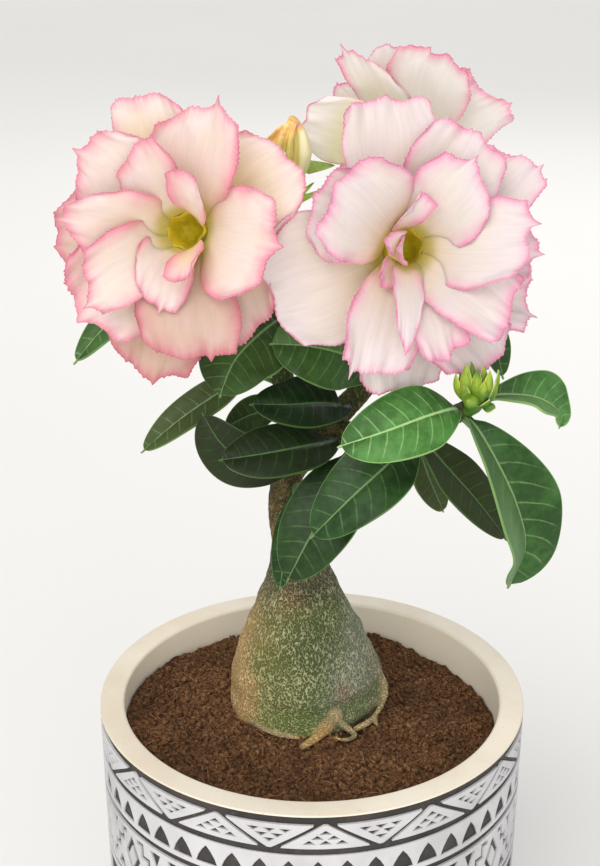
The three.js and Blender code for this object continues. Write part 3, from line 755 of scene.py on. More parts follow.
def split(material, vector):
    """The three numbers of a place or of a point on a chart."""
    return step(material, "SeparateXYZ", {"Vector": vector}).outputs


def stretched(material, vector, scale):
    return step(material, "Mapping", {"Vector": vector, "Scale": scale}).outputs[0]


def spot(material, where, centre, radius):
    """1 at a place in mm, fading to 0 at the radius."""
    place = [c * MM for c in centre]
    away = step(material, "VectorMath", {0: where, 1: place}, operation="DISTANCE").outputs["Value"]
    return ramp(material, away, radius * MM, radius * MM * 0.3)


def bark():
    """A fine net of pale ridges over dark pits, on green that turns tan and grey at the sides."""
    material, shader = new_finish("bark", roughness=0.8, specular_ior_level=0.2)
    where = on_object(material)
    apart = split(material, where)
    broad = cloudy(material, where, 42, 4, 0.6)
    blotch = cloudy(material, where, 130, 5, 0.7)
    drift = times(material, minus(material, broad, 0.5), 0.035)
    sideways = plus(material, apart[0], drift)
    height = plus(material, apart[2], times(material, drift, 0.6))
    foot = times(material, ramp(material, height, 0.132, 0.125), 0.6)
    colour = between(material, ramp(material, sideways, -0.012, 0.005), "8a8b4b", "667a43")
    colour = tinted(material, ramp(material, sideways, -0.001, 0.016), colour, "9ca18a")
    colour = tinted(material, foot, colour, "77903f")
    colour = tinted(material, ramp(material, sideways, 0.018, 0.026), colour, "a69b7c")
    colour = tinted(material, ramp(material, sideways, -0.009, -0.025), colour, "dab070")
    # Painted shade: the top of the base is darker, in the shade of the leaves above it.
    top = ramp(material, height, 0.150, 0.165)
    colour = tinted(material, times(material, top, 0.9), colour, "64634a")
    stem_colour = between(material, ramp(material, blotch, 0.42, 0.6), "54492f", "8d7a4e")
    colour = mixed(material, ramp(material, height, 0.166, 0.182), colour, stem_colour)
    for centre, radius, code, strength in (
        ((-13.6, 5, 180), 6, "c98a58", 0.8),
        ((-7.5, -6, 162), 7, "9a7246", 0.6),
        ((12, -14, 132), 7, "a98a6c", 0.6),
        # Painted shade under the leaves; the other spots are the bark's own colour.
        ((0, -14, 149), 17, "55663a", 0.6),
    ):
        patch = times(material, spot(material, where, centre, radius), strength)
        colour = tinted(material, patch, colour, code)
    colour = tinted(material, ramp(material, height, 0.214, 0.24), colour, "5a6a3a")
    low_net = cloudy(material, where, 1040, 0.8)
    high_net = cloudy(material, stretched(material, where, (1, 1, 0.5)), 1120, 0.8)
    net = mixed(material, ramp(material, height, 0.128, 0.146), low_net, high_net)
    away = reckon(material, "ABSOLUTE", minus(material, net, 0.5))
    ridge = ramp(material, away, 0.115, 0.014)
    uneven = ramp(material, blotch, 0.3, 0.7, 0.4, 1.0)
    pit = ramp(material, ridge, 0.0, 0.75, 0.5, 1.0)
    colour = dimmed(material, colour, pit)
    share = ramp(material, height, 0.174, 0.16, 0.1, 0.46)
    pale = times(material, times(material, ridge, uneven), share)
    colour = tinted(material, pale, colour, "d9d3a8")
    root = stored(material, "rooty")
    root_colour = between(material, ramp(material, blotch, 0.4, 0.62), "9a8c6a", "c2ac7e")
    core = times(material, spot(material, where, (1, -21, 121), 9), 0.6)
    root_colour = tinted(material, core, root_colour, "c99c56")
    colour = mixed(material, root, colour, root_colour)
    both = plus(material, ridge, times(material, blotch, 0.8))
    wear(material, shader, colour, None, both, 0.0011, 0.9)
    return material


trunk.data.materials.append(bark())
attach(trunk, "root")
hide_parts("trunk")

# ------------------------------------------------------------------------------------------------
# Leaves: thick, glossy, dark green blades, each on its own curve from a branch, with a pale
# midrib that stands out below, side veins that lie a little sunk, and a thin pale edge.
LEAF_ROWS, LEAF_COLUMNS = 60, 28
# Each leaf: the curve from its branch, half its width, the way it faces, how far its halves fold
# up in degrees, how young and how lit it is (young leaves are lighter green, and leaves deep in
# the plant get painted shade), and how olive it is.
LEAVES = [
    ([(42, -34, 239), (39, -39.5, 241), (32, -43.5, 240.5), (20, -46.5, 237), (6.5, -46, 232)],
     10.8, (-0.15, -0.72, 0.68), 8, 1.0, 0.0),
    ([(41, -33.5, 237.5), (50.4, -30.5, 241.1), (57.5, -30, 241.6), (64, -30, 240.8),
      (68.8, -30.6, 238.6), (71.6, -31.6, 235.6), (71, -32.6, 232.2)],
     8, (0.1, -0.5, 0.86), 34, 0.8, 0.0),
    ([(43, -35, 237.5), (46, -40, 235.5), (52, -42.5, 226), (58.5, -43.5, 212),
      (61.5, -42, 199), (58, -38, 183)],
     12, (0.55, -0.7, 0.45), 30, 0.5, 0.0),
    ([(26, -14, 225), (33, -21, 223), (41, -21, 214), (50, -19.5, 203), (60, -18, 189)],
     7.5, (0.3, -0.75, 0.59), 16, 0.12, 0.5),
    ([(24, -10, 223), (32, -11, 216), (36, -10, 206), (41, -8, 194)],
     5.5, (0.35, -0.9, 0.25), 14, 0.25, 0.8),
    ([(25, -12, 224), (27, -25, 223), (22, -31, 220.5), (11, -36.5, 212), (-1, -39, 200)],
     11, (-0.3, -0.78, 0.55), 12, 0.26, 0.0),
    ([(10, 2, 216), (12, -12, 214), (7, -20, 206), (-1, -26, 194), (-8, -28, 180)],
     11.5, (-0.2, -0.82, 0.53), 10, 0.2, 0.1),
    ([(-6, 6, 201), (-6, -3, 194), (-8, -10, 184), (-10.3, -14, 169.8)],
     5.8, (-0.6, -0.75, 0.28), 10, 0.26, 0.0),
    ([(5, 4, 215), (5, -10, 219), (-3, -18, 220.5), (-16, -23, 220), (-28, -25, 219)],
     9.5, (-0.1, -0.62, 0.78), 10, 0.02, 0.1),
    ([(-4, 6, 208), (-10, 0, 206), (-20, -3, 209), (-28, -5, 216), (-34, -4, 226)],
     9.5, (-0.45, -0.85, 0.27), 12, 0.02, 0.3),
    ([(6, 8, 219), (9, -4, 228), (2, -9, 231), (-7, -13, 232), (-19, -15, 233)],
     9.5, (-0.05, -0.6, 0.8), 12, 0.04, 0.0),
    ([(19, 11, 234), (17, -2, 240), (9, -7, 246), (-2, -11, 250), (-13, -12, 251)],
     12.5, (-0.15, -0.78, 0.61), 10, 0.46, 0.15),
    ([(-10, 9, 250), (-11, 0, 254), (-17, -6, 251), (-23.5, -11, 245), (-28, -15, 235)],
     13.8, (-0.35, -0.8, 0.48), 10, 0.38, 0.3),
    ([(-9, 9, 230), (-19, 8, 234), (-30, 6, 228), (-42, 4, 220), (-54, 2, 210)],
     6, (-0.3, -0.72, 0.62), 18, 0.4, 0.85),
    ([(-10, 9, 246), (-30, 11, 256), (-48, 9, 258), (-62, 4, 252), (-73, -2, 241)],
     6.5, (-0.3, -0.6, 0.74), 14, 0.6, 0.25),
    ([(-5, 8, 217), (-12, 10, 221), (-19, 12, 219), (-28, 13, 214)],
     6, (-0.2, -0.8, 0.56), 12, 0.3, 0.5),
    ([(21, 12, 240), (32, 14, 249), (44, 16, 252), (56, 17, 243), (61, 17, 229)],
     7, (0.3, -0.7, 0.64), 14, 0.5, 0.1),
    ([(20, 12, 236), (20, 26, 240), (22, 40, 237), (24, 52, 226)],
     10, (0.1, 0.5, 0.86), 14, 0.3, 0.1),
    ([(-9, 9, 236), (-14, 22, 240), (-18, 34, 236), (-22, 46, 225)],
     9.5, (-0.1, 0.5, 0.86), 14, 0.3, 0.1),
]
# Painted sheen: a pale reflection painted on the half of a leaf that is folded up to the light.
SHEEN_HALVES = {2: 0.5, 3: 0.35, 12: 0.2}  # leaves with one half folded up to the light
TAPERS = {2: 0.6}  # how much narrower the outer half of a leaf is
RIB_RADII = [0.95 - 0.1 * k for k in range(9)]
SIDE_VEINS = 12
VEIN_SHIFT = 0.45  # the veins of one half start between those of the other
LEAF_STEM, BLADE_END = 0.12, 0.975  # where the blade starts and where its tiny point does
LEAF_THICKNESS = 0.7


def crowded(u):
    """The rows of a blade lie closer together towards its tip."""
    return u * (1.25 - 0.25 * u)


def leaf_width(s, taper):
    """Widest beyond the middle, with a blunt round end and a tiny point."""
    t = (s - LEAF_STEM) / (BLADE_END - LEAF_STEM)
    if t <= 0:
        return 0.1
    if t >= 1:
        return 0.05 * (1 - (s - BLADE_END) / 0.028)
    full = 0.1 * (1 - t) + (0.9 + 0.1 * t) * math.sin(math.pi * t**1.3) ** (0.95 - 0.42 * t)
    return full * (1 - taper * smooth(s, 0.5, 0.86))


def laid_sheet(name, columns, rows, middle):
    """A grid is laid so that its x runs across the blade (v) and its y along it (u)."""
    bpy.ops.object.select_all(action="DESELECT")
    bpy.ops.mesh.primitive_grid_add(
        x_subdivisions=columns, y_subdivisions=rows, size=2, calc_uvs=True
    )
    piece = bpy.context.object
    piece.name = name
    for vertex in piece.data.vertices:
        vertex.co = middle((vertex.co.y + 1) / 2, vertex.co.x) * MM
    return piece


def thicken(piece, thickness, under, upper):
    """The sheet becomes a blade. Its first side is the underside."""
    piece.data.materials.append(under)
    piece.data.materials.append(upper)
    top_side = {"material_offset": 1, "material_offset_rim": 1}
    applied(piece, "blade", "SOLIDIFY", thickness=thickness * MM, offset=0, **top_side)


def vein_depth(u, v):
    """Side veins leave the midrib at a slant and bend towards the tip. 1 is in a vein."""
    phase = SIDE_VEINS * (u - 0.045 * abs(v) - 0.06 * abs(v) ** 3) + (VEIN_SHIFT if v > 0 else 0)
    near = abs(phase - round(phase)) / 0.2
    return math.exp(-near * near) * smooth(u, 0.1, 0.2) * (1 - smooth(abs(v), 0.75, 0.98))


def leaf_place(path, width, face, fold, seed, taper):
    """The blade's middle surface, with its fold, waves, rib and side veins."""
    place = smooth_curve(path)
    facing = Vector(face).normalized()

    def middle(u, v):
        u = crowded(u)
        along = direction(place, u)
        side = along.cross(facing).normalized()
        up = side.cross(along)
        half = width * leaf_width(u, taper)
        lift = math.tan(math.radians(fold)) * abs(v) - 0.12 * v * v
        wave = 0.05 * math.sin(9 * u + 2 * v) * v * v
        wave += 0.04 * math.sin(17 * u + seed + 1.5 * v) * abs(v) ** 3
        puff = 0.14 * (1 - vein_depth(u, v)) * min(1, half / 5) * (1 - v * v)
        rib = 0.3 * math.exp(-((v * half / 0.9) ** 2))
        return place(u) + side * (-half * v) + up * (half * (lift + wave) + puff - rib)

    return middle


def leaf_green(name, pale):
    """Veins, midrib and edge are drawn along the blade; the underside is paler."""
    material, shader = new_finish(
        name,
        coat_weight=0.06 * (1 - pale),
        coat_roughness=0.25,
        specular_ior_level=0.2,
        subsurface_weight=0.05,
        subsurface_radius=(0.0006, 0.0012, 0.0003),
    )
    where = on_object(material)
    chart = split(material, step(material, "UVMap", {}).outputs[0])
    signed = step(material, "MapRange", {"Value": chart[0], "To Min": -1.0}).outputs[0]
    v, u = reckon(material, "ABSOLUTE", signed), chart[1]
    u = times(material, u, minus(material, 1.25, times(material, u, 0.25)))
    half, young_and_lit, olive, painted_sheen = [
        stored(material, value) for value in ("half", "young_and_lit", "olive", "painted_sheen")
    ]
    patches = cloudy(material, where, 70, 4)
    fine = cloudy(material, where, 900, 4, 0.6)
    cells = cloudy(material, where, 420, 3, 0.6)
    cloud = times(material, plus(material, patches, cells), 0.5)
    mottle = ramp(material, cloud, 0.38, 0.64)
    dark = between(material, mottle, "081405", "0f220b")
    light = between(material, mottle, "3b6b2b", "528640")
    # Lighter green for young leaves, and painted shade on the leaves deep in the plant.
    fresh_and_lit = times(material, young_and_lit, ramp(material, patches, 0.36, 0.62, 0.72, 1.0))
    colour = mixed(material, fresh_and_lit, dark, light)
    colour = tinted(material, times(material, olive, 0.7), colour, "4a4c28")
    # Painted sheen on the half that is folded up to the light.
    colour = tinted(material, painted_sheen, colour, "7da46c")
    aside = times(material, v, half)
    bend = times(material, times(material, aside, aside), 0.0005)
    bend = plus(material, bend, times(material, aside, 0.005))
    waver = times(material, patches, 0.03)
    phase = times(material, plus(material, minus(material, u, bend), waver), SIDE_VEINS)
    right_half = reckon(material, "GREATER_THAN", signed, 0.0)
    phase = plus(material, phase, times(material, right_half, VEIN_SHIFT))
    off = reckon(material, "ABSOLUTE", minus(material, reckon(material, "FRACT", phase), 0.5))
    faded = ramp(material, v, 0.92, 0.55, 0.15, 0.8)
    vein = times(material, ramp(material, off, 0.07, 0.015), faded)
    vein_colour = between(material, young_and_lit, "284820", "92b872")
    broken = ramp(material, cells, 0.3, 0.6, 0.35, 0.8)
    colour = mixed(material, times(material, vein, broken), colour, vein_colour)
    # Painted shade: each blade is darker towards its base, inside the plant.
    colour = dimmed(material, colour, ramp(material, u, 0.1, 0.6, 0.62, 1.04))
    edge = ramp(material, times(material, minus(material, 1.0, v), half), 0.34, 0.1)
    edge_colour = between(material, young_and_lit, "456a30", "9cc276")
    colour = mixed(material, times(material, edge, 0.7), colour, edge_colour)
    width = minus(material, 0.75, times(material, u, 0.55))
    rib = ramp(material, reckon(material, "DIVIDE", aside, width), 1.25, 0.6)
    rib_colour = between(material, young_and_lit, "4c6c3e", "a9cc88")
    colour = mixed(material, times(material, rib, 0.85), colour, rib_colour)
    colour = tinted(material, pale, colour, "7f9c76")
    rough = ramp(material, fine, 0.3, 0.7, 0.36 + pale / 3, 0.52 + pale / 3)
    wear(material, shader, colour, rough, cells, 0.00018, 0.35)
    return material


def rib_line(curve, face, radii):
    """The midrib's path: it lies just under the blade, so that only the underside shows it."""
    line = []
    for k, radius in enumerate(radii):
        t = 0.9 * k / (len(radii) - 1)
        along = direction(curve, t)
        up = along.cross(Vector(face)).cross(along).normalized()
        line.append(curve(t) - up * (radius + 0.15))
    return line


leaf_finish, leaf_back = leaf_green("leaf_green", 0.0), leaf_green("leaf_under", 0.55)
for number, (path, width, face, fold, young_and_lit, olive) in enumerate(LEAVES, 1):
    name = "leaf_%02d" % number
    taper = TAPERS.get(number, 0.0)
    painted_sheen = SHEEN_HALVES.get(number, 0.0)
    middle = leaf_place(path, width, face, fold, number, taper)
    blade = laid_sheet(name + "_blade", LEAF_COLUMNS, LEAF_ROWS, middle)
    wide = LEAF_COLUMNS + 1
    places = [divmod(k, wide) for k in range(len(blade.data.vertices))]
    halves = [width * leaf_width(crowded(row / LEAF_ROWS), taper) for row, column in places]
    add_values(blade, "half", halves)
    add_values(blade, "painted_sheen", [painted_sheen * (column < wide // 2) for row, column in places])
    thicken(blade, LEAF_THICKNESS, leaf_back, leaf_finish)
    rib = limb_parts(rib_line(smooth_curve(path), face, RIB_RADII), RIB_RADII, 10, 32)
    ribs = gathered(name + "_rib", [rib])
    ribs.data.materials.append(leaf_back)
    only(blade, ribs)
    bpy.ops.object.join()
    for key, value in (("young_and_lit", young_and_lit), ("olive", olive)):
        add_values(blade, key, [value] * len(blade.data.vertices))
    soften(blade, 60)
    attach(blade, "root")
    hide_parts(name)

# ------------------------------------------------------------------------------------------------
# Flower stalks: soft green stems from the branch ends, each with a five-pointed calyx that holds
# a flower's tube, and a few small pointed bracts between the two heads.
TUBE_LENGTH = 28
TUBE_FOOT_RADIUS = 3.2
CLEARANCE = 0.3


class Seat:
    """Where a bloom sits: its throat, the way it faces, and up and right across its face."""

    def __init__(self, throat, out):
        self.throat = Vector(throat)
        self.out = Vector(out).normalized()
        up = Vector((0, 0, 1))
        self.up = (up - self.out * up.dot(self.out)).normalized()
        self.right = self.up.cross(self.out)

    def at(self, x, y, z):
        return self.throat + self.right * x + self.up * y + self.out * z


LEFT = Seat((-37, -20, 287.5), (-0.2, -0.94, 0.27))
RIGHT = Seat((26, -25, 284.2), (0.12, -0.955, 0.269))
BACK = Seat((29, 27, 304), (-0.06, 0.68, 0.73))


def revolved(seat, outline, sides, lobe):
    """An outline (radius, height) turned round a bloom's axis, as a closed shell."""
    vertices, faces = [], []
    rows = len(outline)
    for j in range(sides):
        angle = 2 * math.pi * j / sides
        for plain_radius, plain_height in outline:
            radius, height = lobe(plain_radius, plain_height, angle)
            across, up = radius * math.cos(angle), radius * math.sin(angle)
            vertices.append(seat.at(across, up, height))
    for j in range(sides):
        a, b = j * rows, (j + 1) % sides * rows
        for i in range(rows - 1):
            faces.append((a + i, b + i, b + i + 1, a + i + 1))
    return vertices, faces


def calyx(seat):
    """A green cup round the foot of a flower's tube, with five pointed lobes."""
    inner = TUBE_FOOT_RADIUS + 2 * CLEARANCE
    outline = [(0.05, -2), (2.4, -1.6), (inner + 1.0, 0.5), (inner + 1.5, 3)]
    outline += [(inner + 1.5, 4), (inner + 0.7, 4), (inner + 0.5, 3), (inner, 0.2), (0.05, 0.1)]

    def lobe(radius, height, angle):
        point = abs(math.sin(2.5 * angle)) ** 0.8
        if height > 3.5:
            height += 4.6 * point
            radius += 0.5 * point - 0.8 * (1 - point) * (radius > inner + 1)
        return radius, height - TUBE_LENGTH - CLEARANCE

    return revolved(seat, outline, 60, lobe)


def stalk(seat, start, bend):
    foot = seat.at(0, 0, -TUBE_LENGTH)
    path = [start, bend, foot - seat.out * 6, foot - seat.out]
    return [limb_parts(path, [2.4, 2.0, 2.2, 2.6], 16, 30), calyx(seat)]


def bract(root, tip, width):
    """A small pointed leaflet of flat sections, folded up a little along its length."""
    root, tip = Vector(root), Vector(tip)
    along = tip - root
    side = along.cross(Vector((0, -1, 0.4))).normalized()
    up = side.cross(along).normalized()
    sections, sides = 13, 8
    vertices = []
    for i in range(sections):
        u = i / (sections - 1)
        half = width * min(1, 0.4 + 4 * u) * (1 - u) ** 0.7 + 0.1
        thick = 0.5 * (1 - 0.5 * u)
        for j in range(sides):
            a = 2 * math.pi * j / sides
            lift = thick * math.sin(a) + u * abs(math.cos(a))
            vertices.append(root + along * u + side * half * math.cos(a) + up * lift)
    return vertices, sleeve_faces(sides, sections)


def stalk_green():
    material, shader = new_finish("stalk_green", roughness=0.5)
    where = on_object(material)
    patches = cloudy(material, where, 90, 4)
    fine = cloudy(material, where, 1200, 4)
    colour = between(material, ramp(material, patches, 0.35, 0.68), "6f9a38", "a3bd55")
    colour = tinted(material, ramp(material, fine, 0.35, 0.8, 0.0, 0.35), colour, "cdd68c")
    shaded = ramp(material, split(material, where)[2], 0.284, 0.270, 0.0, 0.85)
    colour = tinted(material, shaded, colour, "46552c")
    wear(material, shader, colour, None, fine, 0.0002, 0.4)
    return material


def closed_up(piece, gap):
    """Points closer than the gap, in metres, become one, and the faces turn outwards."""
    edit_all(piece)
    bpy.ops.mesh.remove_doubles(threshold=gap)
    bpy.ops.mesh.normals_make_consistent(inside=False)
    leave_edit()


def finished(piece, finish, node):
    closed_up(piece, 1e-6)
    soften(piece, 60)
    piece.data.materials.append(finish)
    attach(piece, "root")
    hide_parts(node)


LEFT_TOP = (-10, 10, 284)  # where the bracts and their two small stems leave the left stem
left_stem = [(-10, 10, 250), (-10.5, 10, 264), (-10.5, 10, 276), LEFT_TOP]
left_parts = stalk(LEFT, (-10, 10, 262), (-16, 10, 272))
left_parts += [
    limb_parts(left_stem, [2.6, 2.5, 2.4, 2.8], 16, 24),
    limb_parts([LEFT_TOP, (-7, 10, 291), (-3, 9.6, 299)], [1.2, 0.9, 0.7], 10, 16),
    limb_parts([LEFT_TOP, (-9.5, 6, 286.5), (-6.8, 2, 290)], [1.8, 1.3, 0.9], 10, 16),
]
for foot, tip, width in (
    ((-3, 9.6, 299), (6.4, 10, 299.4), 2.3),
    ((-7, 2, 290), (0.3, 2, 296.2), 1.4),
    ((-6.5, 2, 290), (3.2, 1, 294.3), 1.3),
    ((-8, 3, 289), (-10.8, -0.5, 288), 0.9),
    (LEFT_TOP, (-18, 4, 287), 2.0),
    (LEFT_TOP, (-13, 18, 298), 2.2),
):
    left_parts.append(bract(foot, tip, width))
stalk_finish = stalk_green()
finished(gathered("stalks_left_body", left_parts), stalk_finish, "stalks_left")
right_parts = stalk(RIGHT, (22, 12, 250), (22, 11, 262)) + stalk(BACK, (22, 12, 248), (25, 13, 264))
finished(gathered("stalks_right_body", right_parts), stalk_finish, "stalks_right")

# ------------------------------------------------------------------------------------------------
# Blooms: double flowers, each a funnel tube with whorls of thin petals, cream in the middle of a
# petal and pink along its waved and toothed margin, with a yellow-green throat.
PETAL_CUP = 0.16
# Each whorl: the petals' slant at foot and tip in degrees, the foot's height and its distance
# from the middle, and the foot's width as a share of the petal's.
WHORLS = {
    "outer": ((60, 100), -9, 5.0, 0.26),
    "middle": ((46, 92), -5.5, 5.2, 0.3),
    "inner": ((24, 84), -2.5, 5.2, 0.4),
    "core": ((8, 62), -1, 5.2, 0.42),
}
PETAL_COLUMNS, PETAL_ROWS = 44, 40
# What colours a petal: how yellow its middle is, how wide its pink margin, and how much painted
# shade lies on it.
PETAL_LOOKS = {"warm": 0.15, "blush": 1.0, "shade": 0.0}
PETAL_THICKNESS = 0.36
TOOTH_COUNT = 97  # the teeth of a margin repeat after so many
TOOTH_SIZES = (0.2, 0.5, 0.8, 1.2, 2.2)


def petal_place(
    seat,
    whorl,
    clock,
    reach,
    width,
    seed,
    rise=None,
    lean=0,
    tip=0,
    roll=14,
    blunt=0.2,
    wave=1.2,
    sharp=0.3,
    fringe=0.75,
):
    """The petal's middle surface: its solid's outline and bend, with finer waves and teeth."""
    span, height, root, claw = WHORLS[whorl]
    start, end = [math.radians(a) for a in (rise or span)]
    bend = end - start
    length = (reach - root) * bend / (math.cos(start) - math.cos(end))
    angle = math.radians(clock)
    away = seat.right * math.cos(angle) + seat.up * math.sin(angle)
    across = seat.out.cross(away)
    chance = random.Random(seed)
    shift = [chance.uniform(0, 6.3) for _ in range(8)]
    teeth = [chance.choice(TOOTH_SIZES) for _ in range(TOOTH_COUNT)]

    def tooth(k):
        """Every other place along the margin stands out, some far more than others."""
        return teeth[k % TOOTH_COUNT] if k % 2 else -0.4

    def ruffle(along, share, rate, n):
        """Waves along one margin: long ones, and short ones that start nearer to the edge."""
        long_wave = 0.042 * math.sin(rate * along + shift[n]) * share
        return long_wave + 0.024 * math.sin(2.3 * rate * along + shift[n + 1]) * share * share

    def middle(u, v):
        column, row = round((v + 1) * PETAL_COLUMNS / 2), round(u * PETAL_ROWS)
        v = v * (1.25 - 0.25 * v * v)
        u = u * (1.3 - 0.3 * u)
        at_end = smooth(u, 0.955, 1)
        at_side = smooth(abs(v), 0.94, 1) * smooth(u, 0.12, 0.3)
        aside = v - tip
        point = 0.035 * math.exp(-((aside / 0.2) ** 2)) + 0.075 * math.exp(-((aside / 0.045) ** 2))
        outline = 0.026 * math.sin(3.3 * v + shift[4]) + 0.014 * math.sin(7.5 * v + shift[5])
        margin = 1 + sharp * point + outline - blunt * (abs(aside) / (1 + abs(tip))) ** 2.5
        t = max(0, u * (margin + 0.011 * fringe * tooth(column) * at_end))
        tilt = start + bend * t
        out = root + length * (math.cos(start) - math.cos(tilt)) / bend
        up = height + length * (math.sin(tilt) - math.sin(start)) / bend
        spread = claw + (1 - claw) * math.sin(math.pi / 2 * min(1, u / 0.7))
        half = width * spread * (1 - 0.14 * smooth(u, 0.72, 1))
        half *= 1 + 0.018 * fringe * tooth(row) * at_side
        half *= 1 + 0.035 * math.sin(6 * u + shift[6] + 2 * (v > 0)) * u
        turn = math.radians(roll) * smooth(u, 0, 0.6)
        face = seat.out * math.sin(tilt) - away * math.cos(tilt)
        side = across * math.cos(turn) - face * math.sin(turn)
        over = face * math.cos(turn) + across * math.sin(turn)
        ripple = 0.07 * wave * u * u * math.sin(4.2 * v + angle * 3) * (0.4 + v * v)
        side_share = smooth(abs(v), 0.66, 1.0) * smooth(u, 0.15, 0.45)
        waves = wave * (ruffle(v, smooth(u, 0.66, 1.0), 8.5, 0) + ruffle(u, side_share, 8, 2))
        waves += 0.014 * fringe * (tooth(column + 1) * at_end + tooth(row + 1) * at_side)
        groove = 0.007 * math.sin(22 * v + seed) * u * (1 - abs(v))
        lift = PETAL_CUP * v * v + ripple + waves + groove
        base = seat.throat + away * out + seat.out * up
        return base + side * (half * v + lean * u * u) + over * half * lift

    return middle


def edge_distances(piece, columns, rows):
    """How far each point of a laid sheet is from the petal's margin, in mm, along the sheet."""
    places = [vertex.co.copy() for vertex in piece.data.vertices]
    wide = columns + 1
    reach = []
    for i in range(rows + 1):
        line = [places[i * wide + j] for j in range(wide)]
        run = [0.0]
        for a, b in zip(line, line[1:]):
            run.append(run[-1] + (b - a).length)
        reach += [min(s, run[-1] - s) for s in run]
    for j in range(wide):
        run = 0.0
        for i in range(rows, -1, -1):
            if i < rows:
                run += (places[i * wide + j] - places[(i + 1) * wide + j]).length
            reach[i * wide + j] = min(reach[i * wide + j], run)
    return [s / MM for s in reach]


def petal_finish(name, inner):
    """Cream, with a pink wash that deepens to a thin rose edge; the underside is yellower."""
    material, shader = new_finish(
        name,
        roughness=0.6,
        subsurface_weight=0.4 if inner else 0.75,
        subsurface_radius=(1.0, 0.85, 0.8),
        subsurface_scale=0.002,
        sheen_weight=0.1,
    )
    where = on_object(material)
    margin, warm, blush, cool, shade = [
        stored(material, value) for value in ("margin", "warm", "blush", "cool", "shade")
    ]
    chart = step(material, "UVMap", {}).outputs[0]
    along = split(material, chart)[1]
    clouds = cloudy(material, where, 85, 3)
    streaks = cloudy(material, stretched(material, chart, (30, 1.4, 1)), 1.6, 3)
    patchy = ramp(material, clouds, 0.3, 0.7, 0.55, 1.45)
    width = times(material, patchy, ramp(material, streaks, 0.2, 0.8, 0.75, 1.25))
    near = reckon(material, "DIVIDE", margin, times(material, width, blush))
    cream = between(material, cool, "f6dfd9", "e9dada")
    ivory = between(material, cool, "f5e0d1", "e8dbd4")
    colour = mixed(material, ramp(material, clouds, 0.4, 0.66), cream, ivory)
    if not inner:
        colour = tinted(material, 0.65, colour, "fdefe8")
    yellow = times(material, warm, ramp(material, along, 0.95, 0.3))
    colour = mixed(material, yellow, colour, paint("f8dca4") if inner else paint("dfd99a"))
    if not inner:
        sallow = ramp(material, warm, 0.2, 0.9, 0.2, 0.9)
        sallow = times(material, ramp(material, along, 0.75, 0.15), sallow)
        colour = tinted(material, sallow, colour, "e6e0b4")
    wash = times(material, ramp(material, near, 6.5, 0.6), 0.64)
    colour = mixed(material, wash, colour, between(material, cool, "f5a9b6", "f2b2c8"))
    rose = times(material, ramp(material, near, 2.6, 0.1), 0.7)
    colour = mixed(material, rose, colour, between(material, cool, "ea839d", "ea8ab0"))
    line = ramp(material, margin, 0.7, 0.1)
    line = times(material, line, ramp(material, clouds, 0.35, 0.6, 0.05, 0.6))
    colour = mixed(material, line, colour, between(material, cool, "d8587e", "d65c8e"))
    peach = ramp(material, along, 0.46, 0.14)
    colour = tinted(material, times(material, peach, 0.42), colour, "f8deaf")
    glow = ramp(material, along, 0.2, 0.06)
    colour = tinted(material, times(material, glow, 0.85), colour, "cbbd4b")
    # Painted shade: petals low in the left bloom are dimmed as far as their shade value says.
    colour = mixed(material, shade, colour, dimmed(material, colour, paint("d6c3b8")))
    full = 0.88 if inner else 1.08  # undersides lie in shade and are kept lighter
    colour = dimmed(material, colour, ramp(material, streaks, 0.3, 0.7, full - 0.06, full))
    wear(material, shader, colour, None, streaks, 0.0002, 0.2)
    return material


def throat_green():
    """Olive in its depth, paling to yellow at the lip."""
    material, shader = new_finish("throat_green", roughness=0.55, specular_ior_level=0.2)
    where = on_object(material)
    deep = stored(material, "deep")
    clouds = cloudy(material, where, 260, 4, 0.65)
    colour = between(material, ramp(material, deep, 0.0, 0.3), "dfc94e", "c8b42c")
    colour = tinted(material, ramp(material, deep, 0.3, 1.0), colour, "ac9810")
    # Painted shadow on one side of each bloom's hollow.
    for shaded in ((-33.8, -16.7, 285.7), (27.5, -20.9, 282.7)):
        hollow_shadow = times(material, spot(material, where, shaded, 5), 0.6)
        colour = tinted(material, hollow_shadow, colour, "7c7a10")
    colour = dimmed(material, colour, ramp(material, clouds, 0.3, 0.7, 0.8, 1.15))
    wear(material, shader, colour, None, clouds, 0.0005, 0.5)
    return material


def tube(seat, turn):
    """The funnel. Its mouth is a shallow hollow with five uneven corners."""
    outline = [(0.05, -TUBE_LENGTH), (TUBE_FOOT_RADIUS, -TUBE_LENGTH), (3.4, -24), (3.7, -19.6)]
    outline += [(4.8, -15), (5.7, -9.8), (5.7, -4), (5.6, -2.4), (5.3, -1.7), (5.0, -2.2)]
    outline += [(4.5, -4), (3.6, -6), (2.2, -7.4), (0.05, -8)]
    sides = 80

    def lobe(radius, height, angle):
        if height > -9:
            radius *= 1 + 0.10 * math.cos(5 * angle + turn) + 0.04 * math.sin(3 * angle + 2 * turn)
        return radius, height

    shape = revolved(seat, outline, sides, lobe)
    depths = [min(1, max(0, -(height + 1.5) / 6)) for radius, height in outline]
    return shape, depths * sides


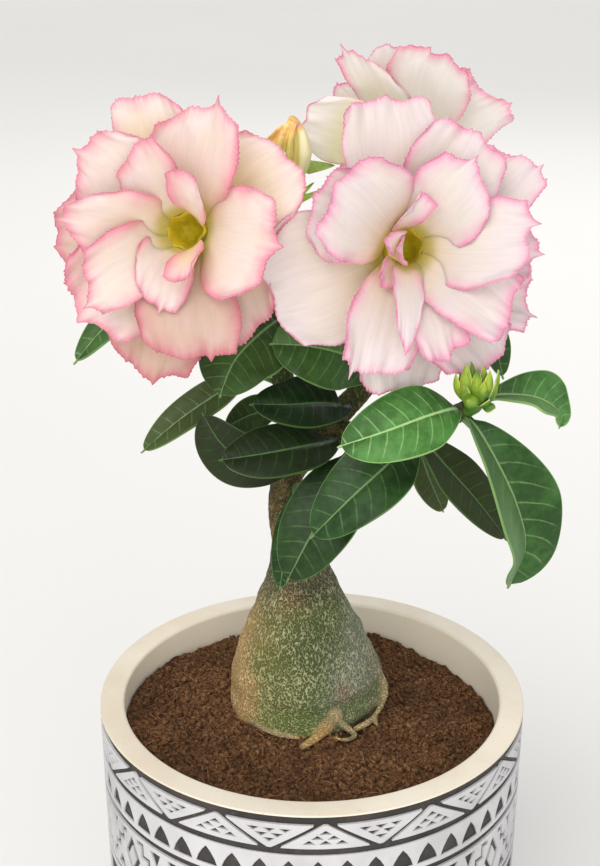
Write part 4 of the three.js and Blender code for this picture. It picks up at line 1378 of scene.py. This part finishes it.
def bloom(name, node, seat, rows, seed, cool):
    """All petals of one bloom and its tube, joined into one piece."""
    pieces = []
    for k, (whorl, clock, reach, width, how) in enumerate(rows):
        shape = {key: value for key, value in how.items() if key not in PETAL_LOOKS}
        middle = petal_place(seat, whorl, clock, reach, width, seed + k, **shape)
        petal = laid_sheet("%s_petal_%02d" % (name, k + 1), PETAL_COLUMNS, PETAL_ROWS, middle)
        add_values(petal, "margin", edge_distances(petal, PETAL_COLUMNS, PETAL_ROWS))
        count = len(petal.data.vertices)
        for key, usual in PETAL_LOOKS.items():
            add_values(petal, key, [how.get(key, usual)] * count)
        thicken(petal, PETAL_THICKNESS, petal_back, petal_look)
        pieces.append(petal)
    shape, depths = tube(seat, seed)
    funnel = gathered(name + "_tube", [shape])
    add_values(funnel, "deep", depths)
    closed_up(funnel, 1e-4)
    funnel.data.materials.append(throat_look)
    only(*pieces, funnel)
    bpy.ops.object.join()
    whole = bpy.context.object
    whole.name = name
    add_values(whole, "cool", [cool] * len(whole.data.vertices))
    soften(whole, 60)
    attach(whole, "root")
    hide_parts(node)


# Each petal: its whorl, its direction in degrees round the throat, its reach, half its width, and
# what sets it apart. Warm and blush belong to its colour, shade is painted shade, the rest to its
# shape.
LEFT_PETALS = [
    ("outer", 109, 41, 14, {"warm": 0.9, "tip": 0.3, "sharp": 0.3, "blush": 0.7, "blunt": 0.32}),
    ("outer", 35, 36.5, 17, {"warm": 0.8, "blush": 0.5, "sharp": 0.05}),
    ("outer", -55, 35.5, 14, {"warm": 0.4, "sharp": 0.0, "shade": 0.6}),
    ("outer", 255, 42, 16, {"warm": 0.95, "tip": 0.3, "sharp": 0.5, "blush": 0.8, "shade": 0.9}),
    ("outer", 184, 38.5, 16, {"warm": 0.8, "tip": 0.3, "sharp": 0.6, "shade": 0.5}),
    ("middle", 80, 34.5, 14.5, {"tip": -0.3, "sharp": 1.0}),
    ("middle", -8, 29, 16.5, {"tip": 0.1, "rise": (34, 80), "roll": 0, "sharp": 1.0}),
    ("middle", -81, 36, 15, {"tip": 0.45, "sharp": 0.8, "blush": 1.0, "shade": 0.8}),
    ("middle", 222, 36, 16.5, {"tip": 0.1, "wave": 1.7, "warm": 0.5, "sharp": 0.6, "blush": 1.1}),
    ("middle", 145, 35, 15.5, {"sharp": 0.8, "wave": 1.6}),
    ("inner", 118, 25, 10.5, {"tip": -0.3, "roll": 20, "sharp": 0.7}),
    ("inner", 176, 29.5, 10.5, {"tip": 0.1, "roll": 20, "sharp": 1.0, "blunt": 0.3}),
    ("inner", 216, 29, 10.5, {"tip": 0.5, "roll": 20, "sharp": 0.8, "blush": 0.8}),
    ("inner", 252, 21.5, 9.5, {"tip": 0.45, "roll": 20, "sharp": 1.4, "blunt": 0.4, "blush": 0.65}),
    ("core", 50, 17, 5.6, {"lean": 6.5, "roll": -20, "sharp": 0.0}),
    ("core", -50, 14.5, 5, {"lean": -6, "roll": 24, "warm": 0.9}),
]
RIGHT_PETALS = [
    ("outer", 96, 42, 14, {"roll": 7, "blunt": 0.12, "blush": 0.45}),
    ("outer", 197, 41, 19.5,
     {"rise": (70, 98), "roll": 8, "blunt": 0.16, "blush": 0.18, "sharp": 0.0, "fringe": 0.25,
      "warm": 0.3}),
    ("outer", 266, 41.5, 14.5, {"blunt": 0.14, "blush": 0.3}),
    ("outer", -24, 39.5, 12.5, {"blush": 0.5, "tip": -0.4, "sharp": 1.0}),
    ("outer", 35, 42, 13, {"blush": 0.6, "tip": -0.5, "sharp": 0.8}),
    ("middle", 57, 36.5, 14, {"rise": (52, 89), "roll": 3, "blunt": 0.14, "blush": 0.6}),
    ("middle", -5, 35.5, 12, {"sharp": 1.0, "blush": 0.7}),
    ("middle", -58, 40, 14, {"rise": (54, 94), "blunt": 0.12, "blush": 0.75}),
    ("middle", 250, 36, 11.5,
     {"rise": (40, 88), "roll": 4, "blunt": 0.08, "tip": -0.6, "sharp": 1.2, "blush": 0.7}),
    ("middle", 150, 30, 14, {"blush": 0.5}),
    ("inner", 48, 26.5, 12, {"tip": 0.3, "sharp": 1.1, "blush": 0.75}),
    ("inner", 1, 31.5, 13, {"tip": 0.4, "sharp": 0.9, "blush": 0.7}),
    ("inner", -38, 32, 12, {"tip": -0.3, "blunt": 0.12, "blush": 0.85}),
    ("inner", -76, 31, 8.5, {"blunt": 0.08, "blush": 0.9}),
    ("inner", 141, 27, 15.5, {"roll": 4, "blunt": 0.12, "blush": 0.75}),
    ("core", 260, 27, 4.8, {"rise": (14, 78), "sharp": 0.6, "blunt": 0.35}),
    ("core", 108, 13, 4, {"lean": -7, "sharp": 0.8}),
    ("core", 190, 4.2, 4.4, {"rise": (-50, 40), "warm": 0.7, "roll": 10}),
    ("core", 160, 8, 4, {"rise": (-36, 60), "warm": 0.9, "roll": 14, "blush": 0.7}),
    ("core", 232, 13, 4.4, {"rise": (26, 78), "warm": 0.7, "roll": 24, "sharp": 0.6}),
]
BACK_PETALS = [
    ("outer", 25, 37, 10.5, {"roll": -38, "warm": 0.9, "blush": 0.2, "sharp": 0.0, "fringe": 0.3}),
    ("outer", 64, 37, 9,
     {"rise": (46, 77), "lean": -2, "blush": 0.65, "warm": 0.5, "tip": -0.5, "sharp": 1.0,
      "blunt": 0.35}),
    ("outer", 97, 38, 13, {"rise": (50, 86), "blush": 0.95, "tip": -0.3, "sharp": 1.0}),
    ("outer", 148, 31, 13, {"rise": (50, 82), "blush": 1.2, "tip": 0.3, "sharp": 0.8}),
    ("outer", 222, 28, 12, {}),
    ("outer", 308, 28, 12, {}),
    ("middle", 34, 26, 10, {"warm": 0.9, "blush": 0.4, "rise": (36, 72)}),
    ("middle", 80, 32, 12, {"warm": 0.9, "blush": 0.25, "rise": (40, 76), "sharp": 0.0}),
    ("middle", 128, 26, 11, {"rise": (36, 72)}),
    ("middle", 264, 24, 12, {}),
    ("inner", 10, 20, 9, {}),
    ("inner", 110, 21, 9, {}),
    ("inner", 230, 19, 9, {}),
]
petal_look, petal_back = petal_finish("petal", True), petal_finish("petal_under", False)
throat_look = throat_green()
bloom("bloom_left_petals", "bloom_left", LEFT, LEFT_PETALS, 100, 0.0)
bloom("bloom_right_petals", "bloom_right", RIGHT, RIGHT_PETALS, 200, 1.0)
bloom("bloom_back_petals", "bloom_back", BACK, BACK_PETALS, 300, 0.25)

# ------------------------------------------------------------------------------------------------
# Spent bloom: a flower that has folded shut and dried on its stem, pale yellow with an orange,
# twisted tip and long pleats. One dried petal tip hangs over at the top.
FLAP_THICKNESS = 0.6
FLAP_ACROSS, FLAP_ALONG = 30, 24


def withered_yellow():
    material, shader = new_finish(
        "withered_yellow",
        roughness=0.65,
        subsurface_weight=0.1,
        subsurface_radius=(0.002, 0.0012, 0.0006),
    )
    where = on_object(material)
    streaks = cloudy(material, stretched(material, where, (3, 3, 0.5)), 160, 4)
    clouds = cloudy(material, where, 330, 4, 0.6)
    sideways, _, height = split(material, where)
    colour = between(material, ramp(material, sideways, -0.0048, -0.0034), "cdbd66", "eae5bb")
    colour = tinted(material, ramp(material, streaks, 0.35, 0.75, 0.0, 0.5), colour, "d8cf8a")
    dry = plus(material, height, times(material, clouds, 0.006))
    dry = plus(material, dry, times(material, sideways, -0.75))
    colour = tinted(material, ramp(material, dry, 0.3165, 0.3195), colour, "ebc272")
    pale = ramp(material, plus(material, clouds, times(material, streaks, 0.5)), 0.8, 0.66)
    pale = times(material, pale, ramp(material, dry, 0.318, 0.321))
    colour = tinted(material, times(material, pale, 0.6), colour, "f3dfa2")
    rusty = ramp(material, clouds, 0.5, 0.66, 0.0, 0.5)
    rusty = times(material, ramp(material, dry, 0.317, 0.324), rusty)
    colour = tinted(material, rusty, colour, "c98a4a")
    rosy = spot(material, where, (-4.6, 1, 313.6), 2.0)
    colour = tinted(material, times(material, rosy, 0.6), colour, "e0a69a")
    colour = tinted(material, ramp(material, height, 0.297, 0.289), colour, "a4b860")
    wear(material, shader, colour, None, streaks, 0.0006, 0.6)
    return material


def pleated(z, angle):
    """Two broad folds and six fine pleats that turn slowly along the flower."""
    return 1 + 0.07 * math.sin(2 * angle + z * 0.10) + 0.035 * math.sin(6 * angle + 0.35 * z)


def flap(u, v):
    """A dried petal tip that fans out from the top and hangs to the left, in three folds."""
    top = Vector((-5.8 + 1.2 * v, 1.2, 315.2 - 0.8 * abs(v)))
    end = Vector((-13.4, 0.4, 309.3)).lerp(Vector((-6.2, -0.8, 304.6)), (v + 1) / 2)
    bulge = 1.3 * math.sin(math.pi * u) + 0.7 * u * math.cos(4.5 * math.pi * v / 2 + 0.6)
    bulge += 0.25 * noise.noise(Vector((6 * v, 3 * u, 0.5)))
    ragged = 0.07 * math.sin(9 * v) + 0.05 * math.sin(23 * v)
    puff = Vector((-0.4 * bulge, -bulge, 0.5 * math.sin(math.pi * u)))
    return top.lerp(end, u * (1 + ragged * u)) + puff


pale_fold = [(-5.4, 2.4, 315), (-4.3, 2.0, 312.2), (-3.2, 1.8, 308.6), (-2.8, 1.9, 305)]
pale_fold += [(-3.2, 2.6, 301.5), (-4.2, 4, 297.5), (-5.4, 5, 294)]
deep_fold = [(-6.6, 2.2, 315), (-6.4, 2.4, 311), (-5.8, 2.6, 306.5), (-5.6, 3.2, 301)]
deep_fold += [(-5.8, 5, 296), (-9, 8.5, 285)]
crest = [(-7.2, 1.4, 314.4), (-6.2, 0.8, 315.4), (-4.9, 1.0, 314.3), (-4.3, 1.6, 312.6)]
folds = [
    limb_parts(pale_fold, [0.7, 1.5, 2.1, 2.4, 2.0, 1.5, 0.9], 36, 48, pleated),
    limb_parts(deep_fold, [0.8, 2.2, 2.7, 2.4, 1.7, 1.4], 36, 48, pleated),
    limb_parts(crest, [0.5, 0.9, 0.8, 0.5], 16, 20, pleated),
]
withered = gathered("spent_bloom_body", folds)
fan = laid_sheet("spent_bloom_flap", FLAP_ACROSS, FLAP_ALONG, flap)
applied(fan, "thickness", "SOLIDIFY", thickness=FLAP_THICKNESS * MM, offset=0)
only(withered, fan)
bpy.ops.object.join()
finished(withered, withered_yellow(), "spent_bloom")

# ------------------------------------------------------------------------------------------------
# Bud cluster: yellow-green young buds and thin cupped leaflets, crowded round a short core at the
# tip of the front branch.
LEAFLET_SECTIONS, LEAFLET_SIDES = 17, 16
LEAFLET_THICKNESS = 0.32
LEAFLET_BOW = 0.16  # how far its middle bows out, as a share of its length


def bud_green():
    material, shader = new_finish("bud_green", roughness=0.45)
    where = on_object(material)
    patches = cloudy(material, where, 180, 3)
    rim = stored(material, "rim")
    height = split(material, where)[2]
    colour = between(material, ramp(material, patches, 0.35, 0.65), "527815", "93aa24")
    # Painted shade low in the cluster, where the buds crowd together.
    colour = tinted(material, ramp(material, height, 0.2485, 0.2425), colour, "44701f")
    colour = tinted(material, ramp(material, rim, 0.8, 1.0, 0.0, 0.8), colour, "cfd97c")
    wear(material, shader, colour, None, cloudy(material, where, 1500, 3), 0.0002, 0.4)
    return material


def leaflet(foot, tip, width, outward, cup):
    """A thin young leaf, cupped along its length. Its middle bows outwards from the cluster."""
    foot, tip = Vector(foot), Vector(tip)
    along = (tip - foot).normalized()
    side = along.cross(Vector(outward)).normalized()
    out = side.cross(along)
    bow = LEAFLET_BOW * (tip - foot).length
    vertices, rims = [], []
    for i in range(LEAFLET_SECTIONS):
        u = i / (LEAFLET_SECTIONS - 1)
        half = width * math.sin(math.pi * (0.1 + 0.88 * u**1.2))
        middle = foot.lerp(tip, u) + out * (bow * math.sin(math.pi * u))
        for j in range(LEAFLET_SIDES):
            a = 2 * math.pi * j / LEAFLET_SIDES
            v = math.cos(a)
            lift = LEAFLET_THICKNESS * math.sin(a) - cup * half * v * v
            vertices.append(middle + side * (half * v) + out * lift)
            rims.append(abs(v))
    return vertices, sleeve_faces(LEAFLET_SIDES, LEAFLET_SECTIONS), rims


core_line = [(44, -36, 239), (45, -38, 241), (45.6, -39.5, 242.6), (45.8, -41, 246.5)]
bud_core = limb_parts(core_line, [1.8, 2.2, 2.4, 1.4], 14, 16)
round_line = [(44.8, -42, 243.6), (43.9, -45, 245.4), (43.2, -46.6, 246), (42.2, -47.4, 246.6)]
round_bud = limb_parts(round_line, [1.5, 2.3, 1.9, 0.3], 18, 20)
# Each leaflet: its foot, its tip, half its width, the way it bows out, and how deep it is cupped.
BUD_LEAFLETS = [
    ((42.4, -39.6, 243.5), (39.6, -42.0, 252.6), 1.7, (-1, -0.6, 0), 0.5),
    ((43.0, -41.4, 243.5), (42.4, -43.4, 256.0), 1.9, (-0.5, -1, 0), 0.6),
    ((44.4, -40.0, 244.0), (43.8, -41.0, 255.8), 1.6, (0.4, -1, 0), 0.5),
    ((45.0, -42.2, 243.6), (45.4, -44.4, 254.8), 1.7, (-0.1, -1, 0.1), 0.7),
    ((46.4, -40.2, 244.0), (47.2, -41.5, 255.2), 1.6, (0.5, -1, 0), 0.4),
    ((47.4, -41.8, 243.4), (48.8, -43.6, 254.0), 1.9, (0.6, -1, 0.1), 0.7),
    ((48.2, -40.0, 243.6), (51.4, -41.5, 253.6), 1.5, (1, -0.5, 0), 0.5),
    ((48.4, -41.4, 243.2), (50.8, -43.4, 250.9), 1.5, (1, -0.8, -0.2), 0.6),
    ((46.6, -42.6, 243.0), (47.2, -45.2, 251.4), 2.0, (0.3, -1, 0), 0.7),
    ((43.4, -42.2, 243.0), (41.6, -44.4, 250.6), 1.7, (-0.6, -1, 0), 0.6),
    ((47.2, -42.0, 243.0), (50.6, -45.0, 243.6), 1.7, (0.2, -0.8, 0.6), 0.8),
    ((46.2, -41.4, 242.6), (48.9, -46.0, 246.4), 1.5, (0.6, -0.8, 0.2), 0.7),
    ((45.6, -36.8, 243.4), (47.6, -35.4, 253.2), 1.8, (0.2, 1, 0), 0.5),
    ((43.4, -37.2, 243.4), (42.0, -36.4, 252.4), 1.7, (-0.5, 1, 0), 0.5),
]
buds = [bud_core, round_bud]
rim_values = [0.0] * sum(len(points) for points, faces in buds)
for row in BUD_LEAFLETS:
    points, faces, rims = leaflet(*row)
    buds.append((points, faces))
    rim_values += rims
cluster = gathered("bud_cluster_body", buds)
add_values(cluster, "rim", rim_values)
finished(cluster, bud_green(), "bud_cluster")

# ------------------------------------------------------------------------------------------------
# Studio: a plain pale floor, one broad sun as from a window, three soft lamps round the plant and
# an even sky. The camera stands where the photograph was taken.
FLOOR_SIZE, FLOOR_DROP = 40, 0.0002  # the floor lies just under the pot's foot
SUN_TILT, SUN_TURN, SUN_WIDTH = 44, -32, 45
LAMP_AIM = Vector((0, 0, 0.2))
CAMERA_PLACE = (-0.0039, -0.4608, 0.4060)
LOOK_DOWN, LENS = 22.24, 66.5


def plain_floor():
    material, shader = new_finish("studio_floor", roughness=0.8)
    where = on_object(material)
    colour = between(material, cloudy(material, where, 3, 2), "eceae6", "f0eeea")
    wear(material, shader, colour)
    return material


bpy.ops.object.select_all(action="DESELECT")
bpy.ops.mesh.primitive_plane_add(size=FLOOR_SIZE, location=(0, 0, -FLOOR_DROP))
floor = bpy.context.object
floor.name = "floor"
floor.data.materials.append(plain_floor())


def placed(name, data):
    """A lamp or a camera becomes an object of the scene."""
    holder = bpy.data.objects.new(name, data)
    bpy.context.collection.objects.link(holder)
    return holder


def soft_light(name, place, size, power, tint):
    lamp = bpy.data.lights.new(name, "AREA")
    lamp.energy = power
    lamp.size = size
    lamp.color = tint
    holder = placed(name, lamp)
    holder.location = place
    holder.rotation_mode = "QUATERNION"
    holder.rotation_quaternion = (LAMP_AIM - Vector(place)).to_track_quat("-Z", "Y")


daylight = bpy.data.lights.new("daylight", "SUN")
daylight.energy = 1.5
daylight.angle = math.radians(SUN_WIDTH)
daylight.color = (1.0, 0.975, 0.945)
sun = placed("daylight", daylight)
sun.rotation_euler = (math.radians(SUN_TILT), 0, math.radians(SUN_TURN))
soft_light("fill", (0.55, -1.45, 0.72), 0.8, 4.1, (0.98, 0.99, 1.0))
soft_light("reflector", (-0.05, -0.85, 0.34), 0.4, 1.5, (1.0, 0.98, 0.94))
soft_light("rim", (0.3, 1.2, 1.0), 0.9, 4, (1.0, 0.98, 0.96))

sky = bpy.data.worlds.new("studio_air")
sky.use_nodes = True
air = sky.node_tree.nodes["Background"].inputs
air["Color"].default_value = (0.85, 0.865, 0.89, 1)
air["Strength"].default_value = 0.68
bpy.context.scene.world = sky
bpy.context.scene.view_settings.view_transform = "Standard"

view = bpy.data.cameras.new("camera")
view.lens = LENS
camera = placed("camera", view)
camera.location = CAMERA_PLACE
camera.rotation_euler = (math.radians(90 - LOOK_DOWN), 0, 0)
bpy.context.scene.camera = camera
